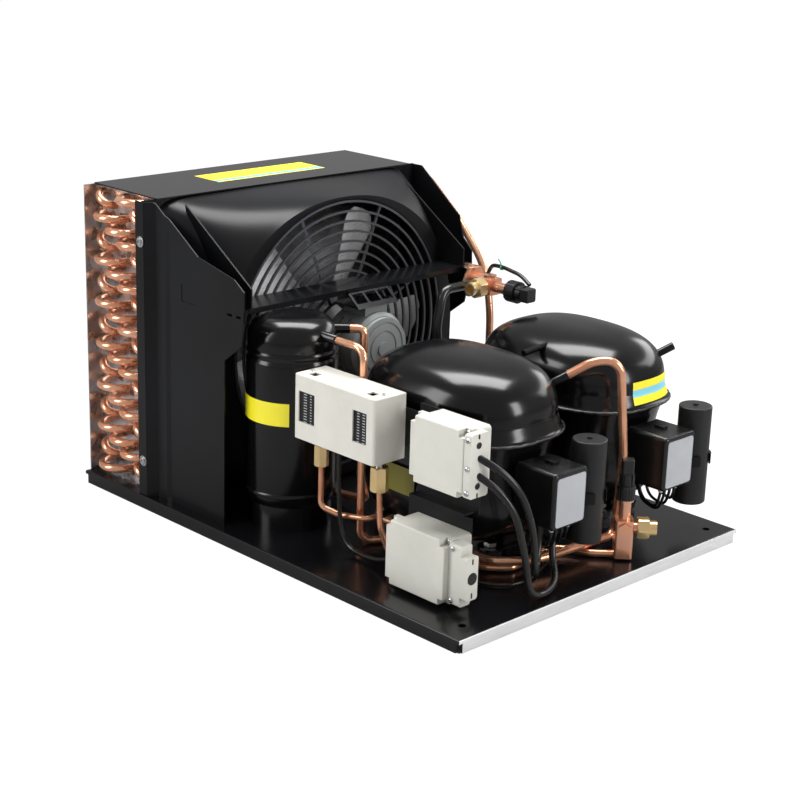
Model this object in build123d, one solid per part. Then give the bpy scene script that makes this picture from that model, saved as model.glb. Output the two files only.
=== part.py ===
from build123d import *
import os
from math import cos, sin, pi, radians, hypot

os.makedirs("parts", exist_ok=True)

# Refrigeration condensing unit, in millimetres.
# Origin: centre of the base plate's footprint, on the floor. +X is the way the air blows,
# +Y is away from the service side, +Z is up.

# ---- clearances
seat = 0.3                 # gap between pieces that only rest beside each other
running = 0.05             # radial clearance of a shaft in its bore

# ---- base plate
base_length = 625
base_width = 450
base_height = 15
base_sheet = 2.5
corner_relief = 5          # radius of the bend relief at each corner
mount_spacing_x = 580
mount_spacing_y = 396
mount_hole_radius = 4.25

# ---- condenser coil
tube_radius = 4.75
tube_pitch = 25            # between tubes of one row
row_pitch = 21.65
row_count = 5
first_row_x = -300
top_tube_z = 352
coil_back_x = -309
coil_front_x = -199
coil_near_y = -196         # fins run between these two
coil_far_y = 177
coil_top_z = 360
end_sheet = 1.5
foot_depth = 13
end_flange = 22            # depth of the near end plate's back flange
end_flange_x = -312
fin_pitch = 6.8
fin_thickness = 2.2
fin_depth = 14
top_sheet_thickness = 1.5
top_sheet_overhang = 8
top_lip = 10

# ---- fan shroud
shroud_wall = 2
mouth_front_x = -96        # outer face of the flat ring round the fan guard
shroud_bottom_gap = 1
ring_width = 358
ring_height = 338
ring_corner = 160
fan_axis_y = -10
fan_axis_z = 192
guard_radius = 160
wing_sheet = 1.6
wing_y = -211              # inner face of the near wing
wing_step = 2.2
strip_y = -221
far_wing_y = 197
gusset_near_y = -181
gusset_far_y = 147
gusset_sheet = 2

# ---- cross shelf and motor bracket
shelf_z = 258.5
shelf_sheet = 2
shelf_front_x = -56
shelf_near_y = -183
shelf_far_y = 151
shelf_lip = 4
bracket_width = 62
bracket_rib = 3.2
bracket_rib_count = 4

# ---- fan guard, motor and fan
guard_wire = 2.6
guard_ring_count = 11
guard_inner_radius = 44
guard_spoke_count = 8
guard_spoke_turn = 23.3
guard_spoke_overlap = 7    # how far the spokes run on behind the shroud's ring
motor_radius = 41
motor_back_x = -93.5
motor_front_x = -32
motor_cap_thickness = 5
shaft_radius = 4
shaft_back_x = -146
shaft_front_x = -50
blade_count = 5
blade_tip_radius = 150
blade_thickness = 1.6
hub_radius = 34
hub_back_x = -140
hub_thickness = 16

# ---- liquid receiver
receiver_x = -38
receiver_y = -137
receiver_radius = 51
receiver_top_z = 254
receiver_shoulder_z = 222
receiver_weld_z = 194
receiver_bottom_z = 45
skirt_radius = 46
skirt_wall = 3
outlet_z = 236             # the stub that feeds the liquid line
outlet_y = -133
outlet_end_x = 30
inlet_end_x = 3
inlet_end_y = -90

# ---- compressors (two alike)
compressor_x = 131
compressor_y = (-44, 137)
shell_half_x = 113
shell_half_y = 84.5
shell_squareness = 2.6
seam_z = 158
seam_height = 4
seam_lip = 0.8
dome_start_z = 176
dome_top_z = 233.5
dome_draft = 0.945
lower_shell_scale = 0.955
shell_bottom_z = 40
foot_z = 34
foot_sheet = 3
foot_spacing_x = 144
foot_spacing_y = 44
foot_strip = 26
grommet_radius = 12
sleeve_radius = 5.5
bolt_radius = 4
suction_stub_z = 90
suction_stub_x = 118       # reach of the stub from the compressor's axis
service_stub_x = -40
service_stub_y = -78
service_stub_z = 52
outlet_stub_radius = 4.5
outlet_stub_length = 30

# ---- electrical parts on each compressor
cover_front = 159          # from the compressor's axis to the cover's face
cover_width = 52
cover_bottom_z = 79
cover_top_z = 141
cover_wall = 2.5
capacitor_radius = 18.5
capacitor_dx = 140
capacitor_dy = 48.5
capacitor_bottom_z = 48
capacitor_top_z = 160
clip_z = 94
clip_height = 12
clip_wall = 2.5

# ---- junction bracket and boxes
upper_plate_y = -138
lower_plate_y = -150
plate_sheet = 2
plate_left_x = 163
upper_plate_right_x = 250
lower_plate_right_x = 252
plate_top_z = 200.5
joggle_z = 103
box_depth = 24             # depth of the half that is fixed to the bracket
lid_depth = 17
box_height = 70
upper_box_x = 190          # left edge of the lid
upper_box_z = 134
upper_box_width = 74
upper_clamp_width = 9
lid_rim = 2                # how far the fixed half stands back from the lid's edge
lid_notch = 7
lid_ear = 6                # thickness left under a corner screw
lower_box_x = 172
lower_box_z = 20.5
lower_box_width = 83
lower_clamp_width = 16
lower_end_width = 9
cable_radius = 3.75
switch_cable_radius = 2.5

# ---- pressure switch
switch_x = 17
switch_width = 125
switch_z = 135
switch_height = 71
switch_depth = 44
switch_chassis = 14
switch_wall = 1.6
spindle_inset = 18         # of the setting spindles from the switch's ends
switch_spindle_radius = 3.5
nut_radius = (8.2, 10.2)   # across corners / 2 of the two flare nuts
nut_height = (24, 27)
nut_dx = (21, 111.5)
nut_y = -160
capillary_radius = 3.2

# ---- service valves
valve_block = 20
valve_neck_radius = 6.5
valve_neck_length = 22.5
valve_collar_radius = 8.8
gland_radius = 6.8
gland_length = 9
spindle_radius = 3.5
spindle_square = 5
# caps: ring radius and length, middle radius and length, head across flats and length, bore depth
liquid_cap = (10, 16, 8.2, 13, 13, 16, 24)
suction_cap = (13, 14, 10, 8, 16.5, 12, 23.5)
cap_bore = 7.2
port_hex_radius = 12.5
port_hex_length = 13
port_nose_radius = 8
port_nose_length = 8
port_neck_radius = 5.5
port_neck_length = 4
port_bore_radius = 5
liquid_valve_at = (281.5, 58, 17.5)
liquid_block_length = 43
liquid_port_z = 33
suction_valve_at = (-42, 155, 243.5)
suction_block_length = 34
suction_port_z = 24
valve_pad_radius = 20
valve_pad_thickness = 4
valve_ear_width = 24

# ---- refrigerant pipes
discharge_radius = 4.75
liquid_radius = 4
suction_radius = 5.5
discharge_run_z = 28.5
liquid_run_z = 19.5


# ======== small helpers ========
def block(x, y, z):
    """Box between two limits along each axis."""
    size = (x[1] - x[0], y[1] - y[0], z[1] - z[0])
    centre = ((x[0] + x[1]) / 2, (y[0] + y[1]) / 2, (z[0] + z[1]) / 2)
    return Pos(*centre) * Box(*size)


def rod(start, end, radius):
    """Cylinder between two points."""
    axis = Vector(*end) - Vector(*start)
    return extrude(Plane(origin=start, z_dir=axis) * Circle(radius), axis.length)


def tube(points, radius, bends):
    """Round bar along straight runs joined by tangent arcs."""
    path = FilletPolyline(*points, radius=bends)
    return sweep(Plane(origin=path @ 0, z_dir=path % 0) * Circle(radius), path=path)


def sheet_xz(outline, y, thickness):
    """Plate parallel to XZ from y to y + thickness."""
    face = make_face(Polyline(*[(px, y, pz) for px, pz in outline], close=True))
    return extrude(face, thickness, dir=(0, 1, 0))


def save(name, *solids):
    shape = solids[0] if len(solids) == 1 else Compound(children=list(solids))
    shape.label = name
    export_step(shape, f"parts/{name}.step")


# ======== base plate ========
def base_plate():
    half_x, half_y = base_length / 2, base_width / 2
    body = block((-half_x, half_x), (-half_y, half_y), (0, base_height))
    body = fillet(body.edges().group_by(Axis.Z)[-1], base_sheet * 0.8)
    inner_x, inner_y = half_x - base_sheet, half_y - base_sheet
    body -= block((-inner_x, inner_x), (-inner_y, inner_y), (0, base_height - base_sheet))
    relief_height = base_height - base_sheet - 2
    for sx in (-1, 1):
        for sy in (-1, 1):
            body -= Pos(sx * half_x, sy * half_y, relief_height / 2) * Cylinder(corner_relief, relief_height)
            hole = Pos(sx * mount_spacing_x / 2, sy * mount_spacing_y / 2, base_height)
            body -= hole * Cylinder(mount_hole_radius, 4 * base_sheet)
    return body


save("base_plate", base_plate())

# ======== condenser ========
deck = base_height


def row_x(row):
    return first_row_x + row_pitch * (row - 1)


def tube_z(row, step):
    """Height of a tube; even rows sit half a pitch lower."""
    return top_tube_z - tube_pitch * step - (tube_pitch / 2 if row % 2 == 0 else 0)


def bend(start, end, plate_y, way):
    """Half ring between two tube ends that stand on an end plate."""
    (x1, z1), (x2, z2) = start, end
    reach = hypot(x2 - x1, z2 - z1) / 2
    middle = ((x1 + x2) / 2, plate_y + way * reach, (z1 + z2) / 2)
    arc = ThreePointArc((x1, plate_y, z1), middle, (x2, plate_y, z2))
    return sweep(Plane(origin=arc @ 0, z_dir=arc % 0) * Circle(tube_radius), path=arc)


def near_bends():
    """Circuit of the service side: it repeats every two tube pitches."""
    plate_y = coil_near_y - end_sheet
    pattern = [((1, 0), (2, 0)), ((3, 0), (5, 0)), ((1, 1), (3, 1)), ((4, 0), (5, 1)), ((2, 1), (4, 1))]
    bends = []
    for repeat in range(7):
        for (row_a, step_a), (row_b, step_b) in pattern:
            ends = [(row_x(r), tube_z(r, s + 2 * repeat)) for r, s in ((row_a, step_a), (row_b, step_b))]
            if min(z for x, z in ends) > deck + tube_radius + 2:
                bends.append(bend(*ends, plate_y, -1))
    return bends


def far_bends():
    """Plain hairpins of the far side, two tubes of one row each."""
    plate_y = coil_far_y + end_sheet
    bends = []
    for row in range(1, row_count + 1):
        first = 0 if row % 2 else 1
        for step in range(first, 13, 2):
            ends = [(row_x(row), tube_z(row, step)), (row_x(row), tube_z(row, step + 1))]
            if ends[1][1] > deck + tube_radius + 2:
                bends.append(bend(*ends, plate_y, 1))
    return bends


def fin_pack():
    body = block((coil_back_x, coil_front_x), (coil_near_y, coil_far_y), (deck + 3, coil_top_z))
    slot = block((0, fin_depth), (0, fin_pitch - fin_thickness), (deck + 3, coil_top_z))
    count = int((coil_far_y - coil_near_y - fin_thickness) / fin_pitch)
    start = coil_near_y + fin_thickness
    slots = [Pos(coil_back_x, start + i * fin_pitch, 0) * slot for i in range(count)]
    return body - slots


def end_plate(y, way):
    """Sheet that holds the tube ends, with a foot on the base."""
    plate = block((coil_back_x, coil_front_x), sorted((y, y + way * end_sheet)), (deck, coil_top_z))
    foot = block((coil_back_x, coil_front_x), sorted((y, y + way * foot_depth)), (deck, deck + end_sheet))
    return plate + foot


def top_sheet():
    x = (coil_back_x - seat - top_sheet_thickness, coil_front_x + top_sheet_overhang)
    y = (coil_near_y - top_sheet_overhang, coil_far_y + top_sheet_overhang)
    sheet = block(x, y, (coil_top_z, coil_top_z + top_sheet_thickness))
    lip = block((x[0], x[0] + top_sheet_thickness), (coil_near_y + seat, y[1]), (coil_top_z - top_lip, coil_top_z))
    return sheet + lip


def near_end_plate():
    """End plate of the service side, with a flange folded round its back edge."""
    joint = block((end_flange_x, coil_back_x), (coil_near_y - end_sheet, coil_near_y), (deck, coil_top_z))
    flange = block((end_flange_x, end_flange_x + end_sheet), (coil_near_y - end_flange, coil_near_y), (deck, coil_top_z))
    return end_plate(coil_near_y, -1) + joint + flange


save("condenser_fins", fin_pack())
save("condenser_end_plates", near_end_plate(), end_plate(coil_far_y, 1))
save("return_bends", *near_bends(), *far_bends())
save("condenser_top_sheet", top_sheet())

# ======== fan shroud, wings and gussets ========
flange_x = coil_front_x + 0.5
hood_centre_y = (coil_near_y + coil_far_y) / 2
hood_half_y = (coil_far_y - coil_near_y) / 2 + top_sheet_overhang
hood_bottom_z = deck + shroud_bottom_gap
hood_top_z = coil_top_z - seat
hood_centre_z = (hood_bottom_z + hood_top_z) / 2


def hood(inset, back_x, front_x):
    """Square-to-round transition from the coil to the ring round the fan."""
    width, height = 2 * (hood_half_y - inset), hood_top_z - hood_bottom_z - 2 * inset
    back = Plane(origin=(back_x, hood_centre_y, hood_centre_z), x_dir=(0, 1, 0), z_dir=(1, 0, 0))
    front = Plane(origin=(front_x, hood_centre_y, hood_centre_z), x_dir=(0, 1, 0), z_dir=(1, 0, 0))
    mouth = back * RectangleRounded(width, height, 8)
    ring = front * RectangleRounded(ring_width - 2 * inset, ring_height - 2 * inset, ring_corner - inset)
    return loft([mouth, ring])


fan_axis = Plane(origin=(0, fan_axis_y, fan_axis_z), x_dir=(0, 1, 0), z_dir=(1, 0, 0))


def disc(radius, x_from, x_to, inner=0):
    """Round plate or ring on the fan's axis."""
    profile = Circle(radius) - Circle(inner) if inner else Circle(radius)
    return extrude(fan_axis.offset(x_from) * profile, x_to - x_from)


hood_outer = hood(0, flange_x, mouth_front_x)


def fan_shroud():
    flange_y = (strip_y + wing_sheet / 2, far_wing_y)
    flange = block((flange_x, flange_x + shroud_wall), flange_y, (hood_bottom_z, hood_top_z))
    inner = hood(shroud_wall, flange_x, mouth_front_x - shroud_wall)
    body = hood_outer + flange - inner
    inner_mouth = block((flange_x - 1, flange_x + shroud_wall + 1),
                        (coil_near_y, coil_far_y), (hood_bottom_z + 8, hood_top_z - 8))
    body -= inner_mouth
    return body - disc(guard_radius + seat, mouth_front_x - 10, mouth_front_x + 10)


def near_wing():
    """Folded side sheet: a strip beside the coil, a step and a plate with a slanting top."""
    route = Polyline((coil_front_x - 9, strip_y), (coil_front_x + 5, strip_y), (coil_front_x + 15, wing_y),
                     (coil_front_x + 31, wing_y), (coil_front_x + 37, wing_y + wing_step), (-33, wing_y + wing_step))
    profile = trace(route, line_width=wing_sheet)
    folded = extrude(Pos(0, 0, deck) * profile, coil_top_z - deck)
    outline = [(-230, deck), (-67, deck), (-66, 205), (-37, 227), (-33, 271), (-33, 287), (-50, 298),
               (-112, 311), (-186, 359), (-230, 359)]
    plate = folded & sheet_xz(outline, strip_y - 5, 30)
    face_y = wing_y + wing_step - wing_sheet / 2
    recess = block((-141, -115), (face_y - 1, face_y + 0.6), (256, 276))
    slots = [block((x, x + 9), (wing_y - 4, wing_y + 8), (256.5, 259.5)) for x in (-62, -47)]
    return plate - recess - slots


def far_wing():
    outline = [(flange_x, deck), (-124, deck), (-123, 182), (-99, 200), (-89, 246), (-90, 267), (-105, 281),
               (-113, 307), (-182, 359), (flange_x, 359)]
    return sheet_xz(outline, far_wing_y, wing_sheet)


def gusset(y):
    """Rib between the hood's shoulder and the cross shelf."""
    outline = [(-171, 356), (shelf_front_x, 282), (shelf_front_x, shelf_z + shelf_sheet + seat),
               (-150, shelf_z + shelf_sheet + seat)]
    return sheet_xz(outline, y, gusset_sheet) - hood(-seat, flange_x - 0.1, mouth_front_x + seat)


save("fan_shroud", fan_shroud())
save("side_wing_near", near_wing())
save("side_wing_far", far_wing())
save("shroud_gussets", gusset(gusset_near_y), gusset(gusset_far_y))

# ======== cross shelf and motor bracket ========
shelf_back_x = mouth_front_x + seat


def cross_shelf():
    y = (shelf_near_y, shelf_far_y)
    sheet = block((shelf_back_x, shelf_front_x), y, (shelf_z, shelf_z + shelf_sheet))
    lip = block((shelf_front_x - shelf_sheet, shelf_front_x), y, (shelf_z - shelf_lip, shelf_z))
    ear_x = suction_valve_at[0] - valve_pad_thickness
    ear_y = (suction_valve_at[1] - valve_ear_width / 2, suction_valve_at[1] + valve_ear_width / 2)
    tab = block((shelf_front_x - 20, ear_x), ear_y, (shelf_z, shelf_z + shelf_sheet))
    ear = block((ear_x - shelf_sheet, ear_x), ear_y, (suction_valve_at[2] - 14, shelf_z))
    return sheet + lip + tab + ear


def motor_bracket():
    """Slotted ramp from the shelf's lip down to the motor's foot."""
    foot_z0 = fan_axis_z + motor_radius + 9
    profile = Polyline((shelf_front_x + 1, fan_axis_y, shelf_z), (shelf_front_x + 1, fan_axis_y, shelf_z - 3),
                       (motor_front_x - 6, fan_axis_y, foot_z0), (motor_front_x - 44, fan_axis_y, foot_z0))
    plane = Plane(origin=(0, fan_axis_y + bracket_width / 2, 0), x_dir=(1, 0, 0), z_dir=(0, -1, 0))
    flat = trace(Polyline(*[(p.X, p.Z) for p in profile.vertices()]), line_width=1.8)
    body = extrude(plane * flat, bracket_width)
    gap = (bracket_width - bracket_rib * bracket_rib_count) / (bracket_rib_count - 1)
    first = fan_axis_y - bracket_width / 2 + bracket_rib
    x = (shelf_front_x + 3.5, motor_front_x - 9)
    for i in range(bracket_rib_count - 1):
        y0 = first + i * (gap + bracket_rib)
        body -= block(x, (y0, y0 + gap), (foot_z0 + 1.5, shelf_z))
    return body


save("cross_shelf", cross_shelf())
save("motor_bracket", motor_bracket())


# ======== fan guard, motor and fan ========
def fan_guard():
    """Concentric wires welded across radial ones."""
    step = (guard_radius - guard_inner_radius) / (guard_ring_count - 1)
    pieces = []
    for i in range(guard_ring_count):
        radius = guard_inner_radius + i * step
        pieces.append(disc(radius, mouth_front_x - guard_wire, mouth_front_x, radius - guard_wire))
    length = guard_radius - guard_inner_radius + guard_spoke_overlap
    for i in range(guard_spoke_count):
        turn = guard_spoke_turn + 360 / guard_spoke_count * i
        bar = Pos(guard_inner_radius + length / 2 - 1, 0, 0.2 - 1.5 * guard_wire) * Box(length, guard_wire, guard_wire)
        pieces.append(fan_axis.offset(mouth_front_x) * Rot(0, 0, turn) * bar)
    return pieces[0].fuse(*pieces[1:])


def motor_housing():
    """Cast motor body with cooling grooves, a foot on top and the shaft's bore."""
    profile = Polyline((shaft_radius + running, motor_back_x), (18, motor_back_x), (24, motor_back_x + 9),
                       (motor_radius - 3, motor_back_x + 9), (motor_radius, motor_back_x + 13),
                       (motor_radius, motor_front_x - 4), (motor_radius - 4, motor_front_x),
                       (shaft_radius + running, motor_front_x), close=True)
    section = Plane(origin=(0, fan_axis_y, fan_axis_z), x_dir=(0, 0, 1), z_dir=(0, 1, 0))
    body = revolve(section * make_face(profile), Axis((0, fan_axis_y, fan_axis_z), (1, 0, 0)))
    top = fan_axis_z + motor_radius + 8
    body += block((motor_front_x - 44, motor_front_x - 8), (fan_axis_y - 17, fan_axis_y + 17), (top - 14, top))
    for i in range(3):
        x0 = motor_front_x - 50 + 12 * i
        body -= disc(motor_radius + 1, x0, x0 + 3, motor_radius - 2.5) & block(
            (x0, x0 + 3), (fan_axis_y - 60, fan_axis_y + 60), (0, fan_axis_z + motor_radius - 8))
    return body


def motor_end_cap():
    x0 = motor_front_x + 0.01
    body = disc(motor_radius - 5, x0, x0 + motor_cap_thickness)
    for outer in (31, 21):
        body -= disc(outer, x0 + motor_cap_thickness - 1.2, x0 + motor_cap_thickness, outer - 2.5)
    return body + disc(8, x0 + motor_cap_thickness, x0 + motor_cap_thickness + 2)


def fan_blade(turn):
    """Sheet blade: pitch falls from root to tip."""
    sections = []
    for radius, chord, pitch in ((hub_radius - 3, 52, 38), (90, 78, 29), (blade_tip_radius, 92, 22)):
        plane = Plane(origin=(hub_back_x + hub_thickness / 2, 0, radius), x_dir=(sin(radians(pitch)),
                      cos(radians(pitch)), 0), z_dir=(0, 0, 1))
        sections.append(plane * RectangleRounded(chord, blade_thickness, blade_thickness * 0.4))
    return Pos(0, fan_axis_y, fan_axis_z) * Rot(turn, 0, 0) * loft(sections)


def fan_hub():
    hub = disc(hub_radius, hub_back_x, hub_back_x + hub_thickness, shaft_radius)
    return fillet(hub.edges().filter_by(GeomType.CIRCLE).sort_by(SortBy.RADIUS)[-2:], 2.5)


save("fan_guard", fan_guard())
save("fan_motor_housing", motor_housing())
save("fan_motor_end_cap", motor_end_cap())
wheel = fan_hub()
for blade_index in range(blade_count):
    wheel += fan_blade(360 / blade_count * blade_index)
wheel -= disc(shaft_radius, hub_back_x - 30, hub_back_x + hub_thickness + 30)
save("fan_wheel", wheel)
save("fan_shaft", disc(shaft_radius, shaft_back_x, shaft_front_x))


# ======== liquid receiver ========
def receiver_shell():
    """Welded bottle: drawn cap, cylinder and bottom, with two stubs on the shoulder."""
    r = receiver_radius
    outline = Polyline((0, receiver_bottom_z - 12), (r * 0.62, receiver_bottom_z - 11), (r - 6, receiver_bottom_z),
                       (r, receiver_bottom_z + 4), (r, receiver_weld_z), (r + 1.2, receiver_weld_z + 1),
                       (r + 1.2, receiver_weld_z + 2), (r - 1, receiver_weld_z + 4), (r - 1, receiver_shoulder_z))
    dome = ThreePointArc((r - 1, receiver_shoulder_z), (r * 0.76, receiver_top_z - 8), (r * 0.3, receiver_top_z))
    closing = Polyline((r * 0.3, receiver_top_z), (0, receiver_top_z), (0, receiver_bottom_z - 12))
    section = Plane.XZ * make_face(outline + dome + closing)
    return Pos(receiver_x, receiver_y, 0) * revolve(section, Axis.Z)


def receiver_stubs():
    outlet = rod((receiver_x + 20, outlet_y, outlet_z), (outlet_end_x, outlet_y, outlet_z), 5.5)
    inlet = rod((receiver_x + 14, receiver_y + 16, outlet_z), (inlet_end_x, inlet_end_y, outlet_z), 5.5)
    return outlet, inlet


def receiver_skirt():
    ring = Cylinder(skirt_radius, receiver_bottom_z - deck - 2) - Cylinder(skirt_radius - skirt_wall, 100)
    foot = Pos(0, 0, 1.5 - (receiver_bottom_z - deck - 2) / 2) * (Cylinder(skirt_radius, 3) - Cylinder(30, 3))
    return Pos(receiver_x, receiver_y, deck + (receiver_bottom_z - deck - 2) / 2) * (ring + foot)


receiver_body = receiver_shell()
for stub in receiver_stubs():
    receiver_body += stub
skirt = receiver_skirt() - receiver_body
save("receiver_shell", receiver_body)
save("receiver_skirt", skirt)


# ======== compressors ========
def oval(scale, z, grow=0.0):
    """Super-ellipse face of the shell at height z."""
    half_x, half_y = shell_half_x * scale + grow, shell_half_y * scale + grow
    points = []
    for i in range(16):
        c, s = cos(2 * pi * i / 16), sin(2 * pi * i / 16)
        px = half_x * abs(c) ** (2 / shell_squareness) * (1 if c >= 0 else -1)
        py = half_y * abs(s) ** (2 / shell_squareness) * (1 if s >= 0 else -1)
        points.append((px, py, z))
    return make_face(Spline(*points, periodic=True))


def upper_shell():
    """Drawn dome above the weld seam."""
    rise = dome_top_z - dome_start_z
    faces = [oval(1.0, seam_z), oval(dome_draft, dome_start_z)]
    for height in (0.35, 0.62, 0.82, 0.94, 1.0):
        scale = dome_draft * max(1 - height ** 2.7, 0.02) ** (1 / 2.7)
        faces.append(oval(scale, dome_start_z + rise * height))
    return loft(faces) + extrude(oval(1.0, seam_z, seam_lip), seam_height)


def lower_shell():
    """Cup below the seam, with the suction and service stubs."""
    faces = [oval(scale, shell_bottom_z + rise) for scale, rise in ((0.5, 0), (0.7, 6), (0.84, 16), (0.92, 30), (0.95, 50))]
    faces.append(oval(lower_shell_scale, seam_z))
    body = loft(faces)
    body += rod((-suction_stub_x + 20, 0, suction_stub_z), (-suction_stub_x, 0, suction_stub_z), 6.5)
    service_root = (service_stub_x, service_stub_y + 20, service_stub_z)
    return body + rod(service_root, (service_stub_x, service_stub_y, service_stub_z), 4)


stub_way = Vector(0.68, 0.49, 0.54)
stub_foot = Vector(62, 62, 194)


def outlet_stub():
    end = stub_foot + stub_way * outlet_stub_length
    return rod(tuple(stub_foot - stub_way * 8), tuple(end), outlet_stub_radius)


def process_stub():
    return rod((11, -58, 219), (11, -97, 216), 3.6)


def compressor_feet():
    """Two cross strips under the shell, each with a saddle."""
    strips = []
    for sx in (-1, 1):
        x0 = sx * foot_spacing_x / 2
        half_y = foot_spacing_y / 2 + foot_strip / 2
        strip = block((x0 - foot_strip / 2, x0 + foot_strip / 2), (-half_y, half_y), (foot_z, foot_z + foot_sheet))
        strip = fillet(strip.edges().filter_by(Axis.Z), foot_strip * 0.4)
        for sy in (-1, 1):
            strip -= Pos(x0, sy * foot_spacing_y / 2, foot_z) * Cylinder(sleeve_radius, 4 * foot_sheet)
        saddle = block((x0 - 10, x0 + 10), (-12, 12), (foot_z + foot_sheet, shell_bottom_z + 14))
        strips.append(strip + saddle)
    return strips


def foot_points(centre_y):
    return [(compressor_x + sx * foot_spacing_x / 2, centre_y + sy * foot_spacing_y / 2)
            for sx in (-1, 1) for sy in (-1, 1)]


def grommet():
    """Waisted rubber ring under a foot."""
    height = foot_z - deck
    section = Polyline((sleeve_radius, 0), (grommet_radius, 0), (grommet_radius, height * 0.35),
                       (grommet_radius - 3, height * 0.5), (grommet_radius, height * 0.65),
                       (grommet_radius, height), (sleeve_radius, height), close=True)
    return Pos(0, 0, deck) * revolve(Plane.XZ * make_face(section), Axis.Z)


def foot_bolt():
    """Spacer sleeve through the grommet and foot, and the bolt that clamps it."""
    height = foot_z + foot_sheet + 1 - deck
    sleeve = extrude(Circle(sleeve_radius - seat) - Circle(bolt_radius), height)
    shank = extrude(Circle(bolt_radius), height)
    head = Pos(0, 0, height) * extrude(RegularPolygon(7.5, 6), 4)
    return sleeve, shank + head


def terminal_cover():
    """Moulded cover open to the shell and below, with a latch on top."""
    half = cover_width / 2
    back = shell_half_x * 0.7
    outer = block((back, cover_front), (-half, half), (cover_bottom_z, cover_top_z))
    outer = fillet(outer.edges().filter_by(Axis.X), 5)
    outer = fillet(outer.faces().sort_by(Axis.X)[-1].edges(), 3.5)
    inner = block((back - 1, cover_front - cover_wall), (cover_wall - half, half - cover_wall),
                  (cover_bottom_z - 1, cover_top_z - cover_wall))
    shell_cut = extrude(oval(lower_shell_scale, 60, seat), 110)
    latch = block((cover_front - 34, cover_front - 22), (-4, 4), (cover_top_z, cover_top_z + 3))
    return outer - inner - shell_cut + latch


def terminal_block():
    back = shell_half_x * 0.8
    block_body = block((back, cover_front - 22), (-18, 18), (cover_bottom_z + 8, cover_top_z - 8))
    shell_cut = extrude(oval(lower_shell_scale, 60, 0.2), 110)
    pins = [rod((cover_front - 22, y, 104), (cover_front - 13, y, 104), 1.6) for y in (-9, 0, 9)]
    return [block_body - shell_cut] + pins


def capacitor():
    body = Pos(0, 0, capacitor_bottom_z) * extrude(Circle(capacitor_radius), capacitor_top_z - capacitor_bottom_z)
    body = fillet(body.edges().filter_by(GeomType.CIRCLE), 1.5)
    stud = Pos(0, 0, capacitor_top_z) * extrude(Circle(3), 2)
    return Pos(capacitor_dx, capacitor_dy, 0) * (body + stud)


def capacitor_clip():
    """Open band round the capacitor on an arm from the shell."""
    outer = capacitor_radius + seat + clip_wall
    band = extrude(Circle(outer) - Circle(capacitor_radius + seat), clip_height)
    band -= block((2, 40), (-9, 9), (-1, clip_height + 1))
    arm = block((-50, -outer + 1), (-6, 6), (0, clip_height))
    clip = Pos(capacitor_dx, capacitor_dy, clip_z) * (band + arm)
    return clip - extrude(oval(lower_shell_scale, 60, 0.2), 110)


feet, grommets, foot_bolts = [], [], []
blocks, capacitors, clips = [], [], []
for index, centre_y in enumerate(compressor_y, start=1):
    spot = Pos(compressor_x, centre_y, 0)
    top = upper_shell() + outlet_stub() + process_stub()
    bottom = lower_shell()
    save(f"compressor_{index}_upper_shell", spot * top)
    save(f"compressor_{index}_lower_shell", spot * bottom)
    save(f"terminal_cover_{index}", spot * terminal_cover())
    feet += [spot * (strip - bottom) for strip in compressor_feet()]
    blocks += [spot * piece for piece in terminal_block()]
    capacitors.append(spot * capacitor())
    clips.append(spot * capacitor_clip())
    for px, py in foot_points(centre_y):
        grommets.append(Pos(px, py, 0) * grommet())
        foot_bolts += [Pos(px, py, deck) * piece for piece in foot_bolt()]
save("compressor_feet", *feet)
save("terminal_blocks", *blocks)
save("capacitors", *capacitors)
save("capacitor_clips", *clips)
save("rubber_grommets", *grommets)
save("compressor_bolts", *foot_bolts)


# ======== junction bracket and boxes ========
def junction_bracket():
    """Folded sheet: foot, lower plate, joggle, upper plate and an arm for the pressure switch."""
    foot = block((plate_left_x + 40, lower_plate_right_x), (lower_plate_y - 18, lower_plate_y), (deck, deck + plate_sheet))
    lower = block((plate_left_x, lower_plate_right_x), (lower_plate_y, lower_plate_y + plate_sheet), (deck, joggle_z))
    ledge = block((plate_left_x, upper_plate_right_x - 8), (lower_plate_y, upper_plate_y + plate_sheet),
                  (joggle_z, joggle_z + plate_sheet))
    upper = block((plate_left_x, upper_plate_right_x), (upper_plate_y, upper_plate_y + plate_sheet),
                  (joggle_z + plate_sheet, plate_top_z))
    arm = block((switch_x + 82, plate_left_x), (upper_plate_y, upper_plate_y + plate_sheet), (150, 190))
    return foot + lower + ledge + upper + arm


def junction_box(x0, z0, width, back_y):
    """Fixed half of a closed box, a little smaller than its lid."""
    body = block((x0 + lid_rim, x0 + width - lid_rim), (back_y - box_depth, back_y),
                 (z0 + lid_rim, z0 + box_height - lid_rim))
    return fillet(body.edges().filter_by(Axis.Y), 4)


def lid_corners(x0, z0, width):
    """Centres of the lid's corner screws."""
    return [(x, z) for x in (x0 + lid_notch / 2, x0 + width - lid_notch / 2)
            for z in (z0 + lid_notch / 2, z0 + box_height - lid_notch / 2)]


def junction_lid(x0, z0, width, back_y):
    """Lid with rounded edges and a notch for the screw at each corner."""
    joint_y = back_y - box_depth
    lid = block((x0, x0 + width), (joint_y - lid_depth, joint_y), (z0, z0 + box_height))
    lid = fillet(lid.faces().sort_by(Axis.Y)[0].edges(), 1.5)
    half = lid_notch / 2
    for x, z in lid_corners(x0, z0, width):
        lid -= block((x - half, x + half), (joint_y - lid_depth - 1, joint_y - lid_ear), (z - half, z + half))
    return lid


def cable_clamp(x, z, front_y, depth, knockouts):
    """Bar that grips the cables beside the lid, with round knock-outs on its end."""
    bar = fillet(block(x, (front_y, front_y + depth), z).edges().filter_by(Axis.X), 3)
    for knockout_z in knockouts:
        bar -= Pos(x[1], exit_y, knockout_z) * Rot(0, 90, 0) * Cylinder(3, 3)
    return bar


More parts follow.
